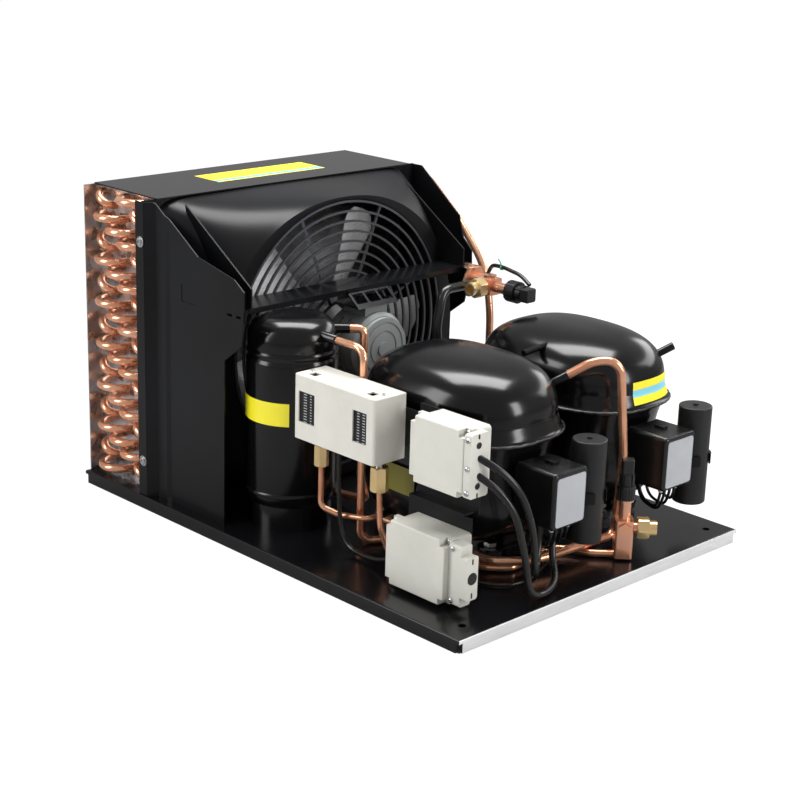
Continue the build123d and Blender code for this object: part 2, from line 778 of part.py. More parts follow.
def screw_heads(points, face_y, radius):
    return [rod((x, face_y, z), (x, face_y - 2.2, z), radius) for x, z in points]


upper_box = (upper_box_x, upper_box_z, upper_box_width, upper_plate_y)
lower_box = (lower_box_x, lower_box_z, lower_box_width, lower_plate_y)
upper_clamp_x = upper_box_x + upper_box_width + seat
lower_clamp_x = lower_box_x + lower_box_width + seat
upper_clamp_y = upper_plate_y - box_depth - 16
lower_clamp_y = lower_plate_y - box_depth - 10
exit_y = upper_plate_y - box_depth - 5
upper_clamp = cable_clamp((upper_clamp_x, upper_clamp_x + upper_clamp_width), (136, 202), upper_clamp_y, 26, (148, 190))
lower_clamp = cable_clamp((lower_clamp_x, lower_clamp_x + lower_clamp_width), (23, 88), lower_clamp_y, 16, ())
lower_end_x = lower_clamp_x + lower_clamp_width
lower_clamp += fillet(block((lower_end_x, lower_end_x + lower_end_width), (lower_clamp_y, lower_clamp_y + 16),
                            (32, 78)).edges().filter_by(Axis.X), 3)
heads = screw_heads([(upper_clamp_x + 5, z) for z in (142, 167, 196)], upper_clamp_y, 2.8)
heads += screw_heads([(lower_clamp_x + 5, z) for z in (28, 83)], lower_clamp_y, 2.8)
for box in (upper_box, lower_box):
    heads += screw_heads(lid_corners(*box[:3]), box[3] - box_depth - lid_ear, 2.6)
save("junction_bracket", junction_bracket())
save("junction_boxes", junction_box(*upper_box), junction_box(*lower_box))
save("junction_lids", junction_lid(*upper_box), junction_lid(*lower_box))
save("cable_clamps", upper_clamp, lower_clamp)
save("clamp_screws", *heads)


# ======== dual pressure switch ========
switch_back_y = upper_plate_y
switch_front_y = switch_back_y - switch_depth
switch_far_x = switch_x + switch_width
switch_top_z = switch_z + switch_height
chassis_front_y = switch_back_y - switch_chassis


def switch_chassis_solid():
    """Back frame of the switch: a deep tray with a top shelf for the spindles."""
    inset = switch_wall + seat
    x = (switch_x + inset, switch_far_x - inset)
    back = block(x, (switch_back_y - 2, switch_back_y), (switch_z + inset, switch_top_z - inset))
    shelf = block(x, (switch_front_y + 8, switch_back_y - 2), (switch_top_z - 14, switch_top_z - 11))
    floor = block(x, (switch_front_y + 8, switch_back_y - 2), (switch_z, switch_z + 3))
    body = back + shelf + floor
    for sx in (switch_x + spindle_inset, switch_far_x - spindle_inset):
        body -= Pos(sx, nut_y - 8, switch_top_z - 12) * Cylinder(switch_spindle_radius + running, 20)
    for dx in nut_dx:
        body -= Pos(switch_x + dx, nut_y, switch_z) * Cylinder(6, 12)
    return body


def switch_cover():
    """Painted cover: front, top and ends, open at the back and below; two scale windows."""
    outer = block((switch_x, switch_far_x), (switch_front_y, switch_back_y), (switch_z, switch_top_z))
    outer = fillet(outer.edges().filter_by(Axis.Z).sort_by(Axis.Y)[:2], 4)
    outer = fillet(outer.faces().sort_by(Axis.Z)[-1].edges().sort_by(Axis.Y)[:-1], 1.2)
    inner = block((switch_x + switch_wall, switch_far_x - switch_wall), (switch_front_y + switch_wall, switch_back_y + 1),
                  (switch_z - 1, switch_top_z - switch_wall))
    cover = outer - inner
    for x in ((25, 50), (109, 130)):
        cover -= block(x, (switch_front_y - 1, switch_front_y + 3), (154.5, 188.5))
    for sx in (switch_x + spindle_inset, switch_far_x - spindle_inset):
        cover -= block((sx - 5, sx + 5), (nut_y - 13, nut_y - 3), (switch_top_z - 4, switch_top_z + 1))
    return cover


def scale_plates():
    y = (switch_front_y + switch_wall + seat, switch_front_y + switch_wall + seat + 1)
    return [block((x0 - 3, x1 + 3), y, (151, 192)) for x0, x1 in ((25, 50), (109, 130))]


def setting_spindle(sx):
    stem = Pos(sx, nut_y - 8, switch_top_z - 40) * extrude(Circle(switch_spindle_radius), 36)
    slot = block((sx - 5, sx + 5), (nut_y - 8.6, nut_y - 7.4), (switch_top_z - 5.5, switch_top_z))
    return stem - slot


def bellows(dx):
    """Stepped can and neck above a flare nut."""
    neck = Pos(switch_x + dx, nut_y, switch_z - 8) * extrude(Circle(5), 11)
    can = Pos(switch_x + dx, nut_y, switch_z + 3) * extrude(Circle(11), 16)
    return neck + can


def flare_nut(dx, radius, height):
    top = switch_z - 8
    body = Pos(switch_x + dx, nut_y, top - height) * extrude(RegularPolygon(radius, 6), height)
    cone = Pos(switch_x + dx, nut_y, top - height / 2) * Cylinder(radius * 0.97, height)
    body = body & fillet(cone.edges().filter_by(GeomType.CIRCLE), radius * 0.18)
    return body - Pos(switch_x + dx, nut_y, top - height) * Cylinder(capillary_radius + seat, 12)


save("switch_chassis", switch_chassis_solid())
save("switch_cover", switch_cover())
save("switch_scales", *scale_plates())
save("setting_spindle_low", setting_spindle(switch_x + spindle_inset))
save("setting_spindle_high", setting_spindle(switch_far_x - spindle_inset))
save("switch_bellows", *[bellows(dx) for dx in nut_dx])
save("flare_nuts", *[flare_nut(dx, r, h) for dx, r, h in zip(nut_dx, nut_radius, nut_height)])


# ======== service valves ========
def valve_body(length, port_z):
    """Forged block with a round neck; the port boss is on its +X side, the test hexagon on -Y."""
    half = valve_block / 2
    body = block((-half, half), (-half, half), (0, length))
    body = fillet(body.edges().filter_by(Axis.Z), 3)
    body += Pos(0, 0, length) * extrude(Circle(valve_neck_radius), valve_neck_length)
    body += rod((0, 0, port_z), (half + port_neck_length, 0, port_z), port_neck_radius)
    hexagon = Plane(origin=(0, -half, port_z), z_dir=(0, -1, 0)) * RegularPolygon(8, 6)
    body += extrude(hexagon, 3)
    body += Pos(0, 0, length + valve_neck_length - 2) * extrude(Circle(valve_collar_radius), 2)
    body += Pos(0, 0, length + valve_neck_length) * extrude(Circle(gland_radius), gland_length)
    bore = Pos(0, 0, length - 6) * extrude(Circle(spindle_radius + running), valve_neck_length + gland_length + 7)
    return body - bore


def valve_spindle(length):
    z0 = length - 5.7
    top = length + valve_neck_length + gland_length
    stem = Pos(0, 0, z0) * extrude(Circle(spindle_radius), top + 2 - z0)
    square = Pos(0, 0, top + 2) * extrude(Rectangle(spindle_square, spindle_square), 7)
    return stem + square


def valve_cap(length, sizes):
    """Moulded cap: ribbed ring, winged middle and square head."""
    ring_radius, ring_length, middle_radius, middle_length, head_square, head_length, bore_depth = sizes
    z0 = length + valve_neck_length + seat
    neck_clear = Pos(0, 0, z0 - 1) * extrude(Circle(cap_bore), bore_depth + 1)
    ring = extrude(Circle(ring_radius), ring_length)
    for i in range(18):
        ring -= Rot(0, 0, 20 * i) * Pos(ring_radius + 0.2, 0, 0) * extrude(Circle(0.9), ring_length * 0.8)
    middle = Pos(0, 0, ring_length) * extrude(Circle(middle_radius), middle_length, taper=3)
    for i in range(4):
        wing = Rot(0, 0, 90 * i + 45) * block((0, middle_radius + 0.8), (-1.6, 1.6),
                                              (ring_length, ring_length + middle_length))
        middle += wing
    head = Pos(0, 0, ring_length + middle_length) * extrude(
        RectangleRounded(head_square, head_square, 2.5), head_length)
    head = chamfer(head.faces().sort_by(Axis.Z)[-1].edges(), 1)
    return Pos(0, 0, z0) * (ring + middle + head) - neck_clear


def valve_port(port_z):
    """Brass flare union: hexagon and nose with a bore."""
    x0 = valve_block / 2 + port_neck_length
    face = Plane(origin=(x0, 0, port_z), x_dir=(0, 1, 0), z_dir=(1, 0, 0))
    body = extrude(face * RegularPolygon(port_hex_radius, 6), port_hex_length)
    round_off = extrude(face * Circle(port_hex_radius * 0.96), port_hex_length)
    body = body & fillet(round_off.edges().filter_by(GeomType.CIRCLE), 1.5)
    body += extrude(face.offset(port_hex_length) * Circle(port_nose_radius), port_nose_length)
    return body - extrude(face.offset(port_hex_length + port_nose_length) * Circle(port_bore_radius), -15)


liquid_place = Plane(origin=liquid_valve_at, x_dir=(1, 1, 0), z_dir=(0, 0, 1))
suction_place = Plane(origin=suction_valve_at, x_dir=(0, -1, 0), z_dir=(1, 0, 0))
for name, place, length, port_z, cap in (("liquid", liquid_place, liquid_block_length, liquid_port_z, liquid_cap),
                                         ("suction", suction_place, suction_block_length, suction_port_z, suction_cap)):
    save(f"{name}_valve_body", place * valve_body(length, port_z))
    save(f"{name}_valve_spindle", place * valve_spindle(length))
    save(f"{name}_valve_cap", place * valve_cap(length, cap))
    save(f"{name}_valve_port", place * valve_port(port_z))


def valve_pad():
    """Hexagonal pad between the suction valve and the shelf's folded ear."""
    x, y, z = suction_valve_at
    face = Plane(origin=(x - valve_pad_thickness, y, z), x_dir=(0, 1, 0), z_dir=(1, 0, 0))
    return extrude(face * RegularPolygon(valve_pad_radius, 6), valve_pad_thickness)


save("suction_valve_pad", valve_pad())

# ======== refrigerant pipes ========
port_1 = Vector(compressor_x, compressor_y[0], 0) + stub_foot + stub_way * (outlet_stub_length + 0.05)
inlet_z = tube_z(4, 0)
inlet_x = row_x(4)


def discharge_line():
    """From compressor 1 down, under the compressors and up to the condenser's inlet."""
    lift = port_1 + stub_way * 30
    points = [tuple(port_1), tuple(lift), (256, 66, 230), (256, 82, 120), (254, 78, discharge_run_z),
              (249, -20, discharge_run_z), (244, -50, discharge_run_z), (221, -78, discharge_run_z),
              (205, -84, discharge_run_z), (50, -84, discharge_run_z), (24, -56, discharge_run_z),
              (10, 10, discharge_run_z), (-4, 150, discharge_run_z), (-62, 208, discharge_run_z + 3),
              (-64, 208, 190), (-74, 208, 246), (-124, 208, 299), (-190, 208, 350),
              (inlet_x, 208, inlet_z), (inlet_x, coil_far_y + end_sheet, inlet_z)]
    radii = [40, 17, 60, 14, 60, 20, 18, 14, 22, 24, 60, 30, 14, 200, 100, 200, 50, 12]
    return tube(points, discharge_radius, radii)


def liquid_line():
    """From the receiver's outlet down, under compressor 1 and round to the liquid valve."""
    y = outlet_y
    reach = valve_block / 2 / 2 ** 0.5
    end = (liquid_valve_at[0] - reach, liquid_valve_at[1] - reach, liquid_run_z)
    points = [(outlet_end_x, y, outlet_z), (72, y, outlet_z), (72, y, liquid_run_z), (100, -84, liquid_run_z),
              (210, -84, liquid_run_z), (230, -62, liquid_run_z), (227, -30, liquid_run_z),
              (215, 6, liquid_run_z), (236, 26, liquid_run_z), (end[0] - 17, end[1] - 17, liquid_run_z), end]
    return tube(points, liquid_radius, [14, 14, 20, 18, 14, 25, 14, 16, 16])


def condensate_line():
    """From the condenser's outlet behind the hood up to the receiver."""
    y = -62
    points = [(inlet_end_x, inlet_end_y, outlet_z), (13.5, -78.5, outlet_z), (13.5, -78.5, 60), (6, y, 30),
              (-40, y, 25), (mouth_front_x + 0.05, y, 25)]
    return tube(points, discharge_radius, [7, 30, 14, 14])


def suction_line():
    """From the suction valve down between the shroud and the compressors, with a branch to each."""
    x = suction_valve_at[0] + suction_radius
    y, z = suction_valve_at[1] - valve_block / 2, suction_valve_at[2]
    low = suction_stub_z
    meet_x = compressor_x - suction_stub_x
    main = tube([(x, y, z), (x, 94, z), (x + 2, 84, 200), (-24, 84, 118), (-18, 58, low), (-18, -24, low),
                 (-6, compressor_y[0], low), (meet_x, compressor_y[0], low)], suction_radius,
                [16, 60, 30, 16, 14, 8])
    branch = tube([(-18, 40, low), (-12, 60, low), (-8, compressor_y[1] - 14, low), (meet_x - 8, compressor_y[1], low),
                   (meet_x, compressor_y[1], low)], suction_radius, [14, 14, 6])
    return main + branch


def pressure_lines():
    """Low-pressure tube to compressor 1's shell and high-pressure tube to the discharge run."""
    low_x, high_x = switch_x + nut_dx[0], switch_x + nut_dx[1]
    low_top, high_top = [switch_z - 8 - height + 6 for height in nut_height]
    shell_x = compressor_x + service_stub_x
    shell_y = compressor_y[0] + service_stub_y
    low = tube([(low_x, nut_y, low_top), (low_x, nut_y, 56), (58, -151, 50), (shell_x, shell_y - 18, service_stub_z),
                (shell_x, shell_y, service_stub_z)], capillary_radius, [9, 14, 9])
    run_z = discharge_run_z
    high = tube([(high_x, nut_y, high_top), (high_x + 3, nut_y, 60), (high_x + 5, nut_y + 12, run_z),
                 (high_x + 5, -84 - discharge_radius - 0.05, run_z)], capillary_radius, [30, 12])
    return low, high


save("discharge_line", discharge_line())
save("liquid_line", liquid_line())
save("condensate_line", condensate_line())
save("suction_line", suction_line())
save("pressure_lines", *pressure_lines())

# ======== cables ========
def gentle_bends(points, share=0.45):
    """Largest tangent arc at each corner that uses this share of the shorter run."""
    corners = [Vector(*p) for p in points]
    radii = []
    for before, here, after in zip(corners, corners[1:], corners[2:]):
        turn = radians((here - before).get_angle(after - here))
        radii.append(share * min((here - before).length, (after - here).length) * cos(turn / 2) / sin(turn / 2))
    return radii


def cable(name, radius, points):
    bends = [min(bend_radius, 90) for bend_radius in gentle_bends(points)]
    path = FilletPolyline(*points, radius=bends)
    body = sweep(Plane(origin=path @ 0, z_dir=path % 0) * Circle(radius), path=path)
    print(name, "bend radii", [round(b, 1) for b in bends], "diameter", 2 * radius)
    print(name, "volume", round(body.volume), "section x length", round(pi * radius ** 2 * path.length))
    save(name, body)


exit_x = upper_box_x + upper_box_width + upper_clamp_width - 4
entry_x = compressor_x + cover_front - 28
entry_y = compressor_y[0]
entry_z = cover_bottom_z + 10
cable("cable_compressor_1", cable_radius,
      [(exit_x, exit_y, 178), (300, -144, 161), (302, -112, 100), (298, -102, 38), (entry_x, entry_y - 14, 36),
       (entry_x, entry_y - 12, entry_z)])
cable("cable_supply", cable_radius,
      [(exit_x, exit_y, 160), (298, -145, 140), (304, -126, 76), (303, -114, 21), (296, -64, 22),
       (entry_x + 4, entry_y + 2, 42), (entry_x, entry_y + 8, entry_z)])
cable("cable_pressure_switch", switch_cable_radius,
      [(66, -160, switch_z + 1), (64, -159, 84), (70, -157, 21), (118, -160, 19.5), (146, -162, 28),
       (lower_box_x + 6, lower_plate_y - 14, 44)])
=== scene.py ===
# %% [markdown]
# A refrigeration condensing unit: a finned condenser with its fan and hood, two hermetic
# compressors, a receiver, a pressure switch, junction boxes and service valves on one base
# plate. The engineering model comes in first and fixes every size and place. Everything that
# follows only dresses it: finishes, smoother shells, labels, wires and small fasteners.

# %% Load the frame
from math import cos, pi, radians, sin, tau

import bmesh
import bpy
from mathutils import Matrix, Vector


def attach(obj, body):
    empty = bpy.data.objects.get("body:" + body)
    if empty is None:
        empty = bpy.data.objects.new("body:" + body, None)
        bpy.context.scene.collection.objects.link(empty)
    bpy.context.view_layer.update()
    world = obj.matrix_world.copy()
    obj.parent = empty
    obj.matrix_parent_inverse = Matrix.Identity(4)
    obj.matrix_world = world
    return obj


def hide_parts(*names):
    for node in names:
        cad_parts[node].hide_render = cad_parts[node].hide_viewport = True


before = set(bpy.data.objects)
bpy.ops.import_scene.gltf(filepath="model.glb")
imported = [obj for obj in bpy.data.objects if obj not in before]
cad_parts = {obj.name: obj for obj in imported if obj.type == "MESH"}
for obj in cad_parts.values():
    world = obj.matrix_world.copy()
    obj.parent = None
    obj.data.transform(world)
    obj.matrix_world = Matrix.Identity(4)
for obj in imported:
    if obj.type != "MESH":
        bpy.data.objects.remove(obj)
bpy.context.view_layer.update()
MM = 0.001

# %% [markdown]
# The camera comes first, because everything is judged from it. It looks down on the service
# side, from a little over a metre and a half away, with a mild telephoto lens. Its place and
# its turn are given as an azimuth, an elevation and a small roll.

# %% Camera
camera_place = Vector((1366.8, -1352.9, 743.5)) * MM
azimuth, elevation, roll = radians(45.442), radians(17.553), radians(1.746)
looking_back = Vector((sin(azimuth) * cos(elevation), -cos(azimuth) * cos(elevation), sin(elevation)))
level_right = Vector((cos(azimuth), sin(azimuth), 0))
level_up = looking_back.cross(level_right)
right = level_right * cos(roll) + level_up * sin(roll)
up = level_up * cos(roll) - level_right * sin(roll)

camera_data = bpy.data.cameras.new("camera")
camera_data.lens = 79.3
camera_data.sensor_width = 36
camera_data.clip_end = 50
camera = bpy.data.objects.new("camera", camera_data)
bpy.context.scene.collection.objects.link(camera)
turn = Matrix((right, up, looking_back)).transposed().to_4x4()
camera.matrix_world = Matrix.Translation(camera_place) @ turn
bpy.context.scene.camera = camera
print("camera is", round(camera_place.length, 2), "m from the object's origin")

# %% [markdown]
# Shader maths reads best as plain expressions. A small class wraps a socket, so that writing
# 1 - mask or noise * 0.3 adds the Math nodes. A second class holds a node tree and makes every
# other node through a single method, settings first and sockets after. A finish is such a
# tree with its shader.

# %% Sockets as numbers
class Signal:
    """An output socket that takes part in arithmetic."""

    def __init__(self, tree, socket):
        self.tree = tree
        self.socket = socket

    def math(self, operation, *values):
        node = self.tree.nodes.new("ShaderNodeMath")
        node.operation = operation
        for place, value in zip(node.inputs, values):
            connect(self.tree, place, value)
        return Signal(self.tree, node.outputs[0])

    def __add__(self, other):
        return self.math("ADD", self, other)

    def __sub__(self, other):
        return self.math("SUBTRACT", self, other)

    def __mul__(self, other):
        return self.math("MULTIPLY", self, other)

    def __rsub__(self, other):
        return self.math("SUBTRACT", other, self)

    def __gt__(self, other):
        return self.math("GREATER_THAN", self, other)

    def __lt__(self, other):
        return self.math("LESS_THAN", self, other)

    __radd__ = __add__
    __rmul__ = __mul__


def connect(tree, place, value):
    """Link a signal to a socket, or write a plain value on it."""
    if isinstance(value, Signal):
        tree.links.new(value.socket, place)
    else:
        if hasattr(value, "__len__") and len(value) < len(place.default_value):
            value = (*value, 1)
        place.default_value = value


def inside(value, low, high):
    """1 between two limits, 0 outside them."""
    return (value > low) * (value < high)


class Graph:
    """A node tree, with one method that makes every node but a Math node."""

    def __init__(self, tree):
        self.tree = tree

    def node(self, kind, settings=None, sockets=None, output=0):
        node = self.tree.nodes.new("ShaderNode" + kind)
        for key, value in (settings or {}).items():
            if key == "stops":
                ramp = node.color_ramp.elements
                while len(ramp) < len(value):
                    ramp.new(1)
                for stop, (place, colour) in zip(ramp, value):
                    stop.position = place
                    stop.color = (*colour, 1)
            else:
                setattr(node, key, value)
        for key, value in (sockets or {}).items():
            connect(self.tree, node.inputs[key], value)
        return Signal(self.tree, node.outputs[output])


class Finish(Graph):
    """One material, with its principled shader ready to be fed."""

    def __init__(self, name, **shader):
        self.material = bpy.data.materials.new(name)
        self.material.use_nodes = True
        super().__init__(self.material.node_tree)
        self.shader = self.tree.nodes["Principled BSDF"]
        for key, value in shader.items():
            self.feed(key.replace("_", " ").title(), value)

    def feed(self, socket, value):
        connect(self.tree, self.shader.inputs[socket], value)

    def here(self):
        return self.node("TexCoord", output=3)

    def axis(self, letter):
        return self.node("SeparateXYZ", sockets={0: self.here()}, output="XYZ".index(letter))

    def facing(self, letter):
        normal = self.node("NewGeometry", output=1)
        return self.node("SeparateXYZ", sockets={0: normal}, output="XYZ".index(letter))

    def noise(self, scale, detail=2.0, roughness=0.5, where=None):
        sockets = {"Vector": where or self.here(), "Scale": scale, "Detail": detail, "Roughness": roughness}
        return self.node("TexNoise", sockets=sockets)

    def stretched(self, x, y, z):
        sockets = {0: self.here(), 1: (x, y, z)}
        return self.node("VectorMath", {"operation": "MULTIPLY"}, sockets)

    def ramp(self, value, *stops):
        return self.node("ValToRGB", {"stops": stops}, {0: value})

    def mix(self, share, first, second):
        return self.node("Mix", {"data_type": "RGBA"}, {0: share, 6: first, 7: second}, output=2)

    def bump(self, height, distance, strength=1.0):
        sockets = {"Height": height, "Distance": distance, "Strength": strength}
        self.feed("Normal", self.node("Bump", sockets=sockets))


print("finish kit ready")

# %% [markdown]
# Most of this machine is black, and the blacks are told apart by their gloss alone. Folded
# sheet is powder coated: satin, with a very fine grain. Pressure vessels are dipped in a
# thick enamel that is almost a mirror, with the slow ripple that wet paint leaves.

# %% Blacks
def deep(finish, gloss):
    """Set how strongly a black reflects."""
    finish.feed("Specular IOR Level", gloss)
    return finish


def powder_black(name, tone=0.0045, low=0.24, high=0.38, gloss=0.22):
    finish = deep(Finish(name, metallic=0.0), gloss)
    clouds = finish.noise(9, 4)
    bluish = (tone * 1.6, tone * 1.7, tone * 2.2)
    finish.feed("Base Color", finish.ramp(clouds, (0.3, (tone,) * 3), (0.8, bluish)))
    finish.feed("Roughness", clouds * (high - low) + low)
    finish.bump(finish.noise(1400, 1), 0.00003, 0.5)
    return finish


def enamel_black(name):
    finish = deep(Finish(name, metallic=0.0), 0.42)
    clouds = finish.noise(6, 3)
    deepest, lightest = (0.002, 0.002, 0.0024), (0.004, 0.004, 0.005)
    finish.feed("Base Color", finish.ramp(clouds, (0.35, deepest), (0.8, lightest)))
    finish.feed("Roughness", clouds * 0.12 + 0.14)
    finish.bump(finish.noise(40, 1) + finish.noise(420, 1) * 0.10, 0.0002, 0.25)
    return finish


def moulded_black(name, tone=0.006, roughness=0.34, grain=2600, gloss=0.35):
    finish = deep(Finish(name, metallic=0.0), gloss)
    clouds = finish.noise(20, 3)
    finish.feed("Base Color", finish.ramp(clouds, (0.3, (tone,) * 3), (0.8, (tone * 1.6,) * 3)))
    finish.feed("Roughness", finish.noise(60, 3) * 0.16 + (roughness - 0.08))
    finish.bump(finish.noise(grain, 1), 0.00002, 0.6)
    return finish


black_sheet = powder_black("black_sheet")
shelf_black = powder_black("shelf_black", 0.004, 0.16, 0.26, 0.35)
guard_black = powder_black("guard_black", 0.035, 0.26, 0.40, 0.6)
enamel = enamel_black("vessel_enamel")
cover_plastic = moulded_black("cover_plastic", 0.005, 0.24, gloss=0.5)
capacitor_plastic = moulded_black("capacitor_plastic", 0.010, 0.42)
cap_plastic = moulded_black("cap_plastic", 0.008, 0.3, gloss=0.5)
rubber = moulded_black("rubber", 0.010, 0.7, 900)
cable_sheath = moulded_black("cable_sheath", 0.005, 0.28, 1800, 0.5)
pipe_black = moulded_black("pipe_black", 0.008, 0.22, 900, 0.6)
weld_black = moulded_black("weld_black", 0.012, 0.35, 700, 0.6)
print("blacks made")

# %% [markdown]
# Bare metals follow. Copper changes colour wherever it was brazed or handled, so a soft,
# large noise moves it from bright salmon to brown, and a finer one marks its gloss. Galvanised
# sheet shows zinc crystals: cells of slightly different grey and roughness.

# %% Metals
SALMON = (0.88, 0.43, 0.26)


def copper_metal(name, dark=(0.66, 0.28, 0.15), light=(0.97, 0.58, 0.40)):
    finish = Finish(name, metallic=0.8)
    clouds = finish.noise(22, 3, 0.55)
    finish.feed("Base Color", finish.ramp(clouds, (0.25, dark), (0.48, SALMON), (0.75, light)))
    finish.feed("Roughness", finish.noise(90, 2) * 0.12 + 0.16)
    finish.bump(finish.noise(160, 1), 0.00005, 0.25)
    return finish


def brass_metal(name):
    finish = Finish(name, metallic=0.8)
    clouds = finish.noise(26, 2)
    finish.feed("Base Color", finish.ramp(clouds, (0.3, (0.80, 0.55, 0.24)), (0.75, (0.94, 0.74, 0.42))))
    finish.feed("Roughness", finish.noise(120, 2) * 0.1 + 0.18)
    finish.bump(finish.noise(500, 1), 0.00003, 0.3)
    return finish


def zinc_sheet(name, low=0.42, high=0.68):
    finish = Finish(name, metallic=1.0)
    cells = finish.node("TexVoronoi", sockets={"Vector": finish.here(), "Scale": 90}, output=1)
    flake = finish.node("SeparateColor", sockets={0: cells})
    finish.feed("Base Color", finish.ramp(flake, (0.1, (low,) * 3), (0.9, (high, high, high * 1.02))))
    finish.feed("Roughness", flake * 0.16 + 0.22)
    finish.bump(finish.noise(500, 2), 0.00003, 0.5)
    return finish


def mill_aluminium(name, tone=0.72, roughness=0.3, metal=1.0):
    finish = Finish(name, metallic=metal)
    grain = finish.noise(60, 3, 0.6, finish.stretched(1, 1, 22))
    finish.feed("Base Color", finish.ramp(grain, (0.3, (tone * 0.86,) * 3), (0.7, (tone,) * 3)))
    finish.feed("Roughness", grain * 0.2 + (roughness - 0.1))
    finish.bump(grain, 0.00004, 0.5)
    return finish


copper = copper_metal("copper")
dull_copper = copper_metal("brazed_copper", (0.46, 0.19, 0.12), (0.80, 0.44, 0.32))
brass = brass_metal("brass")
galvanised = zinc_sheet("galvanised")
zinc_steel = zinc_sheet("zinc_screws", 0.5, 0.72)
aluminium = mill_aluminium("aluminium")
fan_aluminium = mill_aluminium("fan_aluminium", 0.85, 0.3, 0.45)
print("metals made")

# %% [markdown]
# The switch and the junction boxes are a warm light grey. They are the palest things on the
# unit, so their soft dirt and slight unevenness show more than on the blacks.

# %% Pale finishes
YELLOW = (0.86, 0.76, 0.02)


def pale_paint(name, tone, roughness=0.34):
    finish = Finish(name, metallic=0.0)
    dirt = finish.noise(14, 5, 0.65)
    worn = tuple(channel * 0.9 for channel in tone)
    finish.feed("Base Color", finish.ramp(dirt, (0.35, worn), (0.62, tone)))
    finish.feed("Roughness", dirt * 0.14 + (roughness - 0.07))
    finish.bump(finish.noise(1100, 1), 0.00003, 0.5)
    return finish


cast_grey = pale_paint("cast_grey", (0.27, 0.29, 0.285), 0.4)
housing_grey = pale_paint("housing_grey", (0.19, 0.205, 0.20), 0.42)
sticker_grey = pale_paint("sticker_grey", (0.36, 0.37, 0.39), 0.22)
label_yellow = pale_paint("label_yellow", YELLOW, 0.35)
# Painted shade: the yellow label low on the first compressor, coloured dark olive as it looks in shadow.
label_yellow_painted_shade = pale_paint("label_yellow_painted_shade", (0.16, 0.14, 0.01), 0.4)
cream_paint = pale_paint("cream_paint", (0.60, 0.585, 0.53))
box_plastic = pale_paint("box_plastic", (0.57, 0.56, 0.505), 0.4)
print("pale finishes made")

# %% [markdown]
# Three pieces need more than one colour each. The base plate is black, but its front rim is
# bare metal, so a mask by position changes the shader there. The top sheet carries a bare
# yellow label with one cyan band, and the scale plate behind the switch's windows has rows of
# pale ticks: again masks by position.

# %% Masks by position
FRONT_RIM_X = 0.3119
LABEL_X, LABEL_Y = (-0.276, -0.229), (-0.087, 0.078)
LABEL_BAND_X = (-0.240, -0.233)
TICK_COLUMNS = ((0.031, 0.036), (0.041, 0.0435), (0.114, 0.1175), (0.122, 0.126))
TICKS_PER_METRE = 330


def base_finish():
    finish = powder_black("base_black", 0.004, 0.14, 0.26, 0.4)
    rim = (finish.axis("X") > FRONT_RIM_X) * (finish.facing("X") > 0.6)
    scratches = finish.noise(40, 3, 0.7, finish.stretched(1, 1, 30))
    steel = finish.ramp(scratches, (0.3, (0.78, 0.78, 0.79)), (0.7, (0.92, 0.92, 0.92)))
    finish.feed("Base Color", finish.mix(rim, (0.004, 0.004, 0.005), steel))
    finish.feed("Metallic", rim * 0.55)
    finish.feed("Roughness", rim * 0.08 + (finish.noise(9, 4) * 0.16 + 0.14))
    return finish


def top_sheet_finish(tone=(0.85, 0.72, 0.03), cyan=(0.10, 0.55, 0.75)):
    """Black sheet with a yellow rectangle and a cyan band in it, seen from above."""
    finish = powder_black("top_sheet_black", 0.005, 0.12, 0.22, 0.5)
    x, y = finish.axis("X"), finish.axis("Y")
    label = inside(x, *LABEL_X) * inside(y, *LABEL_Y) * (finish.facing("Z") > 0.5)
    stripe = inside(x, *LABEL_BAND_X) * label
    dots = finish.noise(30, 2)
    paper = finish.ramp(dots, (0.3, tuple(c * 0.94 for c in tone)), (0.7, tone))
    colour = finish.mix(label, (0.005, 0.005, 0.006), paper)
    finish.feed("Base Color", finish.mix(stripe, colour, cyan))
    finish.feed("Roughness", label * 0.12 + 0.16)
    return finish


def scale_finish():
    """Black plate with rows of pale ticks where the two windows show it."""
    finish = moulded_black("scale_black", 0.008, 0.3)
    x = finish.axis("X")
    along = finish.axis("Z") * TICKS_PER_METRE
    rows = along.math("FRACT", along) < 0.3
    columns = sum(inside(x, *edges) for edges in TICK_COLUMNS)
    black, pale = (0.008, 0.008, 0.009), (0.42, 0.43, 0.45)
    finish.feed("Base Color", finish.mix(rows * columns, black, pale))
    return finish


base_paint = base_finish()
top_paint = top_sheet_finish()
scale_black = scale_finish()
print("masked finishes made")

# %% [markdown]
# Each piece of the frame now takes its finish. The list reads like a paint schedule.

